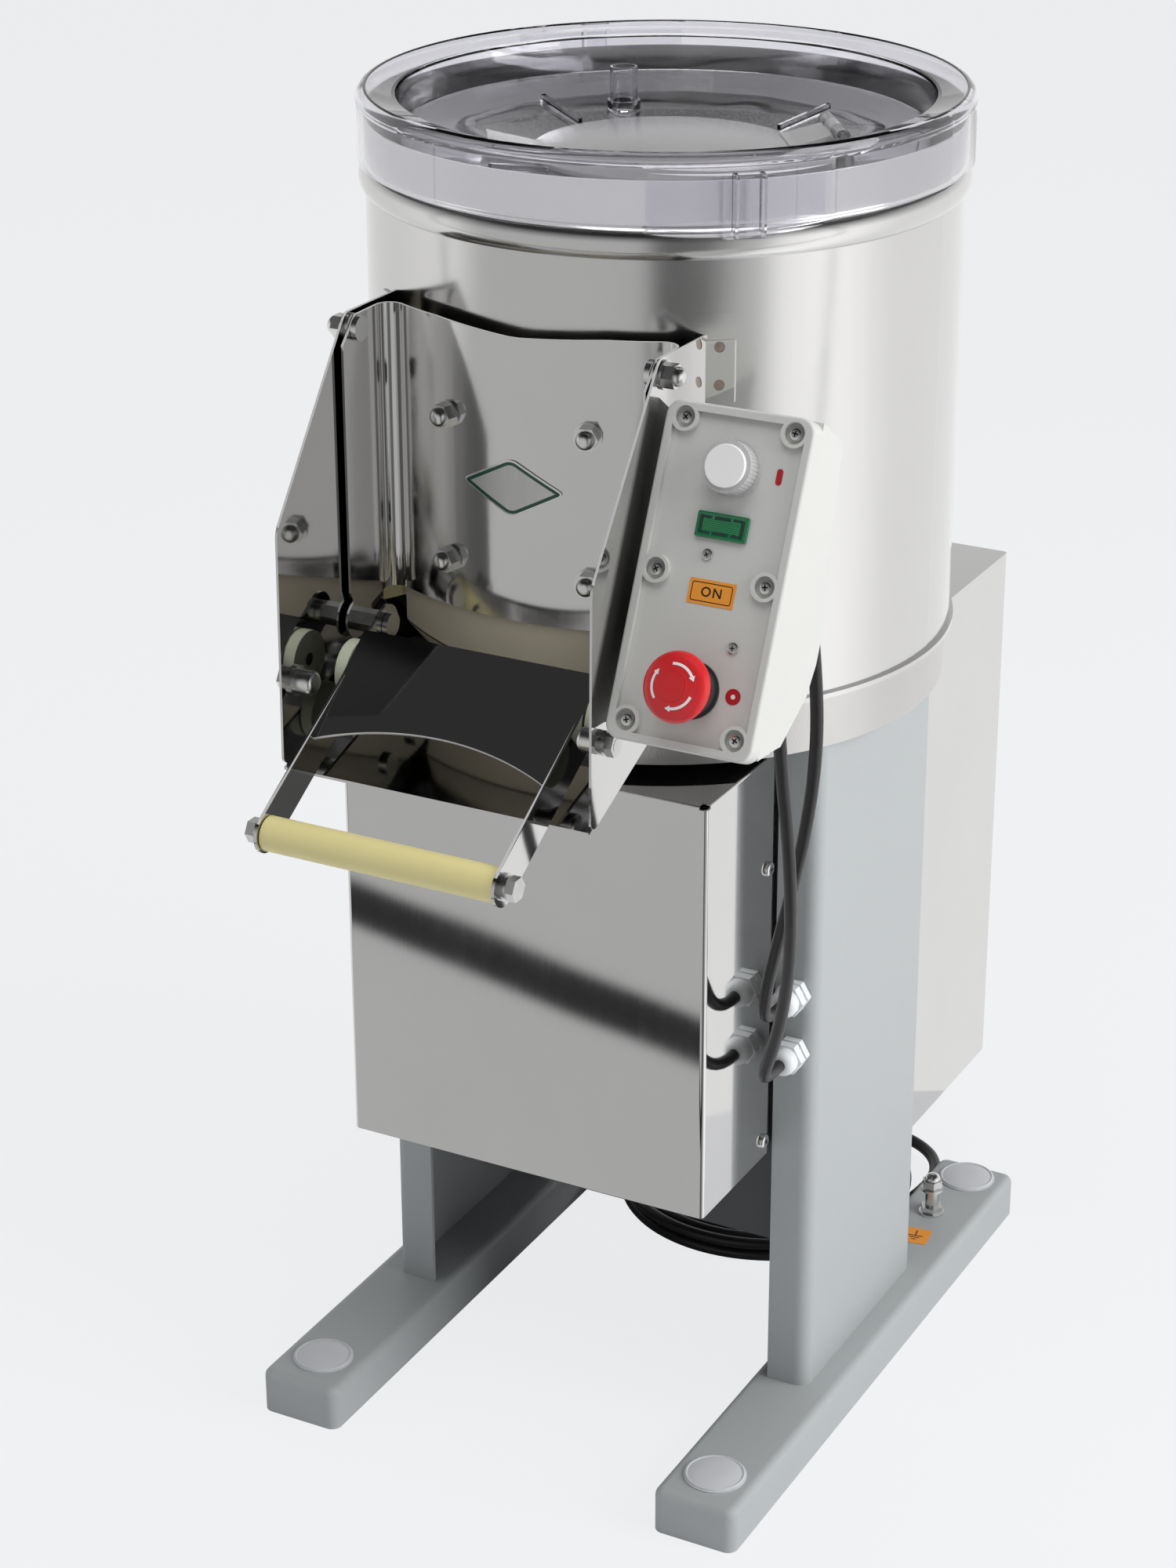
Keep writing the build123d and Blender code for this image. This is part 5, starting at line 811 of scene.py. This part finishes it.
def frame_line(name, width, length, corner, line, height, low):
    """A thin rounded frame."""
    frame_plate = plate(name, width, length, height, corner)
    mesh_edit(frame_plate, "faces", lambda face: abs(face.normal.z) > 0.9)
    bpy.ops.mesh.inset(thickness=line, use_individual=True)
    bpy.ops.mesh.delete(type="FACE")
    pick(frame_plate, "edges", lambda edge: edge.is_boundary)
    bpy.ops.mesh.bridge_edge_loops()
    mesh_done()
    frame_plate.location = (0, 0, low)
    applied(frame_plate)
    return frame_plate


def lamp_label():
    """The orange plate under the lamp, with a dark frame and the word ON."""
    base = plate("lamp_label", 28 * MM, 14 * MM, 0.3 * MM, 0.4 * MM, 2)
    base.matrix_world = face_place(*LABEL_PLACE, PANEL_LEVEL)
    settle(base, "frame", orange)
    border = frame_line("border", 24.8 * MM, 10.8 * MM, 1.4 * MM, 0.5 * MM, 0.08 * MM, 0.28 * MM)
    letters = word("ON", 7.6 * MM, (0, 0, 0.3 * MM))
    print_work = joined("lamp_label_print", [border, letters])
    print_work.matrix_world = face_place(*LABEL_PLACE, PANEL_LEVEL)
    return settle(print_work, "frame", print_black)


def switch_marks():
    """A red bar beside the start button and a red ring beside the stop button."""
    bar = plate("start_mark", 3.6 * MM, 9.0 * MM, 0.25 * MM, 1.7 * MM, 6)
    mesh_edit(bar, "faces", lambda face: face.normal.z > 0.9)
    bpy.ops.mesh.inset(thickness=0.5 * MM, depth=-0.12 * MM)
    mesh_done()
    bar.matrix_world = face_place(*START_MARK_PLACE, PANEL_LEVEL)
    ring = disc("stop_mark", 4.5 * MM, 0.25 * MM)
    mesh_edit(ring, "faces", lambda face: face.normal.z > 0.9)
    bpy.ops.mesh.inset(thickness=3.1 * MM)
    bpy.ops.mesh.extrude_region_move(TRANSFORM_OT_translate={"value": (0, 0, -0.15 * MM)})
    mesh_done()
    ring.matrix_world = face_place(*STOP_MARK_PLACE, PANEL_LEVEL)
    marks = joined("switch_marks", [bar, ring])
    settle(marks, "frame", print_red)
    dot = disc("stop_mark_dot", 1.35 * MM, 0.16 * MM, 24)
    mesh_edit(dot, "edges", lambda edge: all(vert.co.z > 0.1 * MM for vert in edge.verts))
    bpy.ops.mesh.bevel(offset=0.05 * MM, segments=2)
    mesh_done()
    dot.matrix_world = face_place(*STOP_MARK_PLACE, PANEL_LEVEL + 0.1)
    return settle(dot, "frame", print_white)


def stop_arrows():
    """Three arrows round the top of the stop button, laid on its dome."""
    arrows = []
    for start in ARROW_STARTS:
        bpy.ops.mesh.primitive_plane_add(size=1.0)
        arrow = made("arrow")
        arrow.scale = (ARROW_WIDTH * MM, 0.4 * MM, 1.0)
        arrow.location = (ARROW_REACH * MM, 0, 0)
        applied(arrow)
        mesh_edit(arrow, "edges", lambda edge: all(vert.co.y < 0 for vert in edge.verts))
        bpy.ops.mesh.spin(steps=18, angle=math.radians(ARROW_SWEEP), center=(0, 0, 0), axis=(0, 0, 1))
        mesh_done()
        bpy.ops.mesh.primitive_circle_add(vertices=3, radius=2.0 * MM, fill_type="NGON",
                                          rotation=(0, 0, math.pi),
                                          location=(ARROW_REACH * MM, -0.6 * MM, 0))
        tip = made("tip")
        applied(tip)
        tip.rotation_euler = (0, 0, math.radians(-2 - ARROW_SWEEP))
        arrow = joined("arrow", [arrow, tip])
        applied(arrow)
        arrow.matrix_world = Matrix.Rotation(math.radians(start), 4, "Z")
        applied(arrow)
        arrows.append(arrow)
    arrows = joined("stop_arrows", arrows)
    mesh_edit(arrows, "faces")
    bpy.ops.mesh.normals_make_consistent(inside=False)
    mesh_done()
    return laid_on_dome(arrows, print_white)


def stop_ring():
    """The fine raised ring round the middle of the stop button."""
    bpy.ops.mesh.primitive_torus_add(major_radius=8.6 * MM, minor_radius=0.28 * MM, major_segments=64,
                                     minor_segments=8)
    ring = made("stop_ring")
    ring.matrix_world = face_place(*STOP_PLACE, PANEL_LEVEL + STOP_RING_RISE)
    smooth(ring)
    return settle(ring, "stop_head", red)


def laid_on_dome(obj, material):
    """Drops a flat print on the dome of the stop button and gives it a little body."""
    obj.matrix_world = face_place(*STOP_PLACE, PANEL_LEVEL + STOP_TOP_RISE)
    applied(obj)
    out = on_face(0, 0)[0] @ Vector((0, 0, 1))
    head = nodes["estop_head"]
    for vert in obj.data.vertices:
        hit, spot, _, _ = head.ray_cast(vert.co, -out)
        if hit:
            vert.co = spot + out * 0.05 * MM
    modified(obj, "SOLIDIFY", thickness=0.1 * MM, offset=1.0)
    return settle(obj, "stop_head", material)


def lamp_parts():
    """The lamp: a green rim, a dark frame with breaks in it, and the dotted screen inside."""
    rim = plate("lamp_rim", 31.0 * MM, 14.5 * MM, 2.4 * MM, 1.2 * MM, 4)
    mesh_edit(rim, "edges", lambda edge: all(vert.co.z > 2.3 * MM for vert in edge.verts))
    bpy.ops.mesh.bevel(offset=0.7 * MM, segments=3)
    pick(rim, "faces", lambda face: face.normal.z > 0.99 and face.calc_area() > 1e-4)
    bpy.ops.mesh.inset(thickness=1.0 * MM, depth=-0.2 * MM)
    mesh_done()
    smooth(rim, 30)
    rim.matrix_world = face_place(*LAMP_PLACE, PANEL_LEVEL)
    settle(rim, "frame", green, ["indicator_lens"])
    bars = []
    for x, y, width, length in LAMP_BARS:
        bar = plate("bar", width * MM, length * MM, 0.12 * MM, 0.3 * MM, 2)
        bar.location = (x * MM, y * MM, LAMP_FLOOR * MM)
        bars.append(bar)
    bars = joined("lamp_frame_bars", bars)
    applied(bars)
    bars.matrix_world = face_place(*LAMP_PLACE, PANEL_LEVEL)
    settle(bars, "frame", lamp_dark)
    screen = plate("lamp_screen", 22.8 * MM, 6.4 * MM, 0.12 * MM, 0.4 * MM, 2)
    screen.location = (0, 0, LAMP_FLOOR * MM)
    applied(screen)
    screen.matrix_world = face_place(*LAMP_PLACE, PANEL_LEVEL)
    return settle(screen, "frame", lamp_screen)


def earth_label():
    """The orange label on the right rail beside the earth bolt, with the plain earth sign."""
    place = (Matrix.Translation(Vector(EARTH_LABEL_PLACE) * MM)
             @ Matrix.Rotation(math.radians(EARTH_LABEL_TURN), 4, "Z"))
    base = plate("earth_label", 20 * MM, 20 * MM, 0.25 * MM, 0.8 * MM, 3)
    base.matrix_world = place
    settle(base, "frame", orange)
    strokes = []
    for x, y, width, length in EARTH_STROKES:
        stroke = plate("stroke", width * MM, length * MM, 0.08 * MM, 0.2 * MM, 1)
        stroke.location = (x * MM, y * MM, 0.24 * MM)
        strokes.append(stroke)
    sign = joined("earth_sign", strokes)
    applied(sign)
    sign.matrix_world = place
    return settle(sign, "frame", print_black)


def faces_up(face):
    """The upper cut edges of a sheet that stands."""
    return face.normal.z > 0.5


def lever_rim(face):
    """The curved front edge of the lever's plate, and the upper edges of its arms in front of it."""
    place = face.calc_center_median() / MM
    if abs(place.x) < LEVER_ARM_IN:
        return face.normal.y < -0.7 and face.normal.z < -0.4
    return place.y < LEVER_PLATE_FRONT and face.normal.y < -0.5 and face.normal.z > 0.7


def bare_edges(sheet, body, wanted):
    """The pale cut edges of a sheet, a hair above the sheet's own."""
    edges = bpy.data.objects.new(sheet + "_edges", nodes[sheet].data.copy())
    bpy.context.collection.objects.link(edges)
    mesh_edit(edges, "faces")
    bpy.ops.mesh.remove_doubles(threshold=0.001 * MM)
    pick(edges, "faces", lambda face: not wanted(face))
    bpy.ops.mesh.delete(type="FACE")
    mesh_done()
    modified(edges, "SOLIDIFY", thickness=0.1 * MM, offset=1.0)
    return settle(edges, body, cut_metal)


def coil_tie():
    """The strap round all turns of the mains coil."""
    strap = plate("coil_tie", BUNDLE_ACROSS * MM, BUNDLE_HIGH * MM, STRAP_WIDTH * MM, STRAP_CORNER * MM, 6)
    mesh_edit(strap, "faces", lambda face: abs(face.normal.z) > 0.9)
    bpy.ops.mesh.delete(type="FACE")
    mesh_done()
    modified(strap, "SOLIDIFY", thickness=STRAP_THICK * MM, offset=1.0)
    smooth(strap, 40)
    around = math.radians(TIE_ANGLE)
    spot = Vector((COIL_CENTRE[0] + TIE_RADIUS * math.cos(around),
                   COIL_CENTRE[1] + TIE_RADIUS * math.sin(around), TIE_LEVEL)) * MM
    outward = Vector((math.cos(around), math.sin(around), 0))
    upward = Vector((0, 0, 1))
    turn = Matrix((outward, upward, outward.cross(upward))).transposed().to_4x4()
    strap.matrix_world = Matrix.Translation(spot) @ turn
    return settle(strap, "frame", rubber)


def plug_pins():
    """The bright round pins of the mains plug."""
    end, before = Vector(MAINS_TAIL[-1]), Vector(MAINS_TAIL[-2])
    way = Vector((end.x - before.x, end.y - before.y, 0)).normalized()
    upward = Vector((0, 0, 1))
    across = way.cross(upward)
    pin = disc("plug_pin", PIN_R * MM, PIN_LENGTH * MM, 24)
    modified(pin, "BEVEL", width=0.8 * MM, segments=3, limit_method="ANGLE", angle_limit=math.radians(40))
    turn = Matrix((across, -upward, way)).transposed().to_4x4()
    foot = Vector((end.x, end.y, PLUG_HEIGHT)) + way * PLUG_DEPTH
    places = [Matrix.Translation((foot + across * (side * PIN_SPACING / 2)) * MM) @ turn
              for side in (-1, 1)]
    pins = copies("plug_pins", pin, places)
    smooth(pins, 40)
    return settle(pins, "frame", bright)


def cap_rims():
    """The raised rims of the four plastic caps on the rails."""
    bpy.ops.mesh.primitive_torus_add(major_radius=CAP_RIM_R * MM, minor_radius=0.9 * MM, major_segments=64,
                                     minor_segments=10)
    rim = made("cap_rim")
    across, along, high = CAP_PLACE
    places = [Matrix.Translation((side * across * MM, end * along * MM, high * MM))
              for side in (-1, 1) for end in (-1, 1)]
    rims = copies("cap_rims", rim, places)
    smooth(rims)
    return settle(rims, "frame", cap_plastic)


box_screws()
side_screws()
door_plate()
weld_spots()
lamp_label()
switch_marks()
stop_arrows()
stop_ring()
lamp_parts()
earth_label()
cap_rims()
bare_edges("door_sheet", "door", faces_up)
bare_edges("chute_wall_left", "frame", faces_up)
bare_edges("chute_wall_right", "frame", faces_up)
bare_edges("lever", "lever_arm", lever_rim)
plug_pins()
coil_tie()


# ---------------------------------------------------------------------------
# Stage, lights and camera
# ---------------------------------------------------------------------------

def seen_plain(tree):
    """1 where the camera looks straight at a surface or through clear plastic, else 0."""
    path = tree.nodes.new("ShaderNodeLightPath")
    straight = Number(tree, path.outputs["Is Camera Ray"])
    return straight.work("MAXIMUM", straight, Number(tree, path.outputs["Is Transmission Ray"]))


def paper_material():
    """The pale floor: seen or looked at through the lid, an even pale paper with a soft shadow on it."""
    material = bpy.data.materials.new("paper_floor")
    material.use_nodes = True
    tree = material.node_tree
    tree.nodes.clear()
    out = tree.nodes.new("ShaderNodeOutputMaterial")
    mix = tree.nodes.new("ShaderNodeMixShader")
    plain = tree.nodes.new("ShaderNodeBsdfDiffuse")
    glow = tree.nodes.new("ShaderNodeEmission")
    plain.inputs["Color"].default_value = (*PAPER, 1)
    glow.inputs["Color"].default_value = (*PAPER, 1)
    tree.links.new((seen_plain(tree) * PAPER_GLOW).socket, mix.inputs["Fac"])
    tree.links.new(plain.outputs[0], mix.inputs[1])
    tree.links.new(glow.outputs[0], mix.inputs[2])
    tree.links.new(mix.outputs[0], out.inputs["Surface"])
    return material


def stage_floor():
    """The wide floor, just under the object's feet."""
    bpy.ops.mesh.primitive_plane_add(size=60.0, location=(0, 0, -FLOOR_DROP))
    floor = made("stage_floor")
    floor.data.materials.append(paper_material())


def mirror_room_material():
    """What metal sees of the studio: bright right, grey ahead, a dark strip between them, dark above."""
    room = Finish("mirror_room", (0, 0, 0), 1.0)
    tree = room.tree
    x, y, z = (room.along(axis) for axis in range(3))
    azimuth = x.work("ARCTAN2", x, 0 - y) / TURN + 0.5
    ramp = tree.nodes.new("ShaderNodeValToRGB")
    ramp.color_ramp.interpolation = "EASE"
    while len(ramp.color_ramp.elements) < len(ROOM_LEVELS):
        ramp.color_ramp.elements.new(0.5)
    for stop, (degrees, level) in zip(ramp.color_ramp.elements, ROOM_LEVELS):
        stop.position = degrees / 360 + 0.5
        stop.color = (level, level, level, 1.0)
    tree.links.new(azimuth.socket, ramp.inputs["Fac"])
    level = Number(tree, ramp.outputs["Color"])
    off_gap = y + GAP_PLACE - x * GAP_SLOPE
    gap = off_gap.work("ABSOLUTE", off_gap)
    level = level * (gap.within(GAP_HALF * 0.75, GAP_HALF * 1.25) * (1 - GAP_LEVEL) + GAP_LEVEL)
    level = level * (1 - z.within(ROOM_DIM_FROM, ROOM_HEIGHT) * (1 - CEILING_LEVEL))
    glow = tree.nodes.new("ShaderNodeEmission")
    tree.links.new(level.socket, glow.inputs["Color"])
    tree.links.new(glow.outputs[0], tree.nodes["Material Output"].inputs["Surface"])
    return room.material


def only_mirrored(board, material):
    """Marks a studio board that only metal and glass see by reflection."""
    board.data.materials.append(material)
    board.visible_camera = False
    board.visible_diffuse = False
    board.visible_transmission = False
    board.visible_shadow = False
    board.visible_volume_scatter = False


def mirror_room():
    """The floor further out, the walls and the ceiling that the metal reflects."""
    material = mirror_room_material()
    bpy.ops.mesh.primitive_circle_add(vertices=96, radius=ROOM_RADIUS, fill_type="NGON",
                                      location=(0, 0, ROOM_GROUND))
    ground = made("mirror_ground")
    mesh_edit(ground, "faces")
    bpy.ops.mesh.inset(thickness=ROOM_RADIUS - ROOM_HOLE)
    bpy.ops.mesh.delete(type="FACE")
    mesh_done()
    only_mirrored(ground, material)
    bpy.ops.mesh.primitive_cylinder_add(vertices=96, radius=ROOM_RADIUS, depth=ROOM_HEIGHT,
                                        end_fill_type="NOTHING", location=(0, 0, ROOM_HEIGHT / 2))
    walls = made("mirror_walls")
    applied(walls)
    only_mirrored(walls, material)
    bpy.ops.mesh.primitive_circle_add(vertices=96, radius=ROOM_RADIUS, fill_type="NGON",
                                      location=(0, 0, ROOM_HEIGHT))
    ceiling = made("mirror_ceiling")
    applied(ceiling)
    only_mirrored(ceiling, material)


def soft_light(name, place, aim, size, power):
    """A rectangular lamp that metal doesn't mirror."""
    lamp = bpy.data.lights.new(name, "AREA")
    lamp.shape = "RECTANGLE"
    lamp.size, lamp.size_y = size
    lamp.energy = power
    holder = bpy.data.objects.new(name, lamp)
    holder.location = place
    holder.rotation_euler = (Vector(aim) - Vector(place)).to_track_quat("-Z", "Y").to_euler()
    holder.visible_glossy = False
    bpy.context.scene.collection.objects.link(holder)


def world_light(level):
    """An even sky of that level, seen as pale paper."""
    world = bpy.data.worlds.new("studio")
    bpy.context.scene.world = world
    world.use_nodes = True
    tree = world.node_tree
    sky = tree.nodes["Background"]
    mix = tree.nodes.new("ShaderNodeMix")
    mix.data_type = "RGBA"
    tree.links.new(seen_plain(tree).socket, mix.inputs["Factor"])
    colours = [s for s in mix.inputs if s.type == "RGBA"]
    colours[0].default_value = (level, level, level * 1.02, 1)
    colours[1].default_value = (*PAPER, 1)
    tree.links.new([s for s in mix.outputs if s.type == "RGBA"][0], sky.inputs["Color"])


def stage_camera():
    """The camera, from its place, yaw, pitch and roll."""
    ahead = Vector((-math.sin(CAMERA_YAW) * math.cos(CAMERA_PITCH),
                    math.cos(CAMERA_YAW) * math.cos(CAMERA_PITCH), math.sin(CAMERA_PITCH)))
    level = Vector((math.cos(CAMERA_YAW), math.sin(CAMERA_YAW), 0))
    upward = level.cross(ahead)
    right = level * math.cos(CAMERA_ROLL) + upward * math.sin(CAMERA_ROLL)
    rise = upward * math.cos(CAMERA_ROLL) - level * math.sin(CAMERA_ROLL)
    lens = bpy.data.cameras.new("camera")
    lens.sensor_fit = "VERTICAL"
    lens.sensor_height = SENSOR_HEIGHT
    lens.lens = FOCAL_HEIGHTS * SENSOR_HEIGHT
    lens.clip_end = 200.0
    holder = bpy.data.objects.new("camera", lens)
    turn = Matrix((right, rise, -ahead)).transposed().to_4x4()
    holder.matrix_world = Matrix.Translation(CAMERA_PLACE) @ turn
    bpy.context.scene.collection.objects.link(holder)
    bpy.context.scene.camera = holder


stage_floor()
mirror_room()
soft_light("right_window", (2.6, 0.1, 1.5), (0, 0, 0.5), (1.8, 2.0), 66)
soft_light("left_window", (-2.2, -1.6, 1.5), (0, 0, 0.5), (1.2, 1.8), 4)
soft_light("top_window", (0.3, -0.5, 2.9), (0, 0, 0.4), (1.6, 1.6), 26)
world_light(SKY_LEVEL)
stage_camera()
bpy.context.scene.view_settings.view_transform = "Standard"
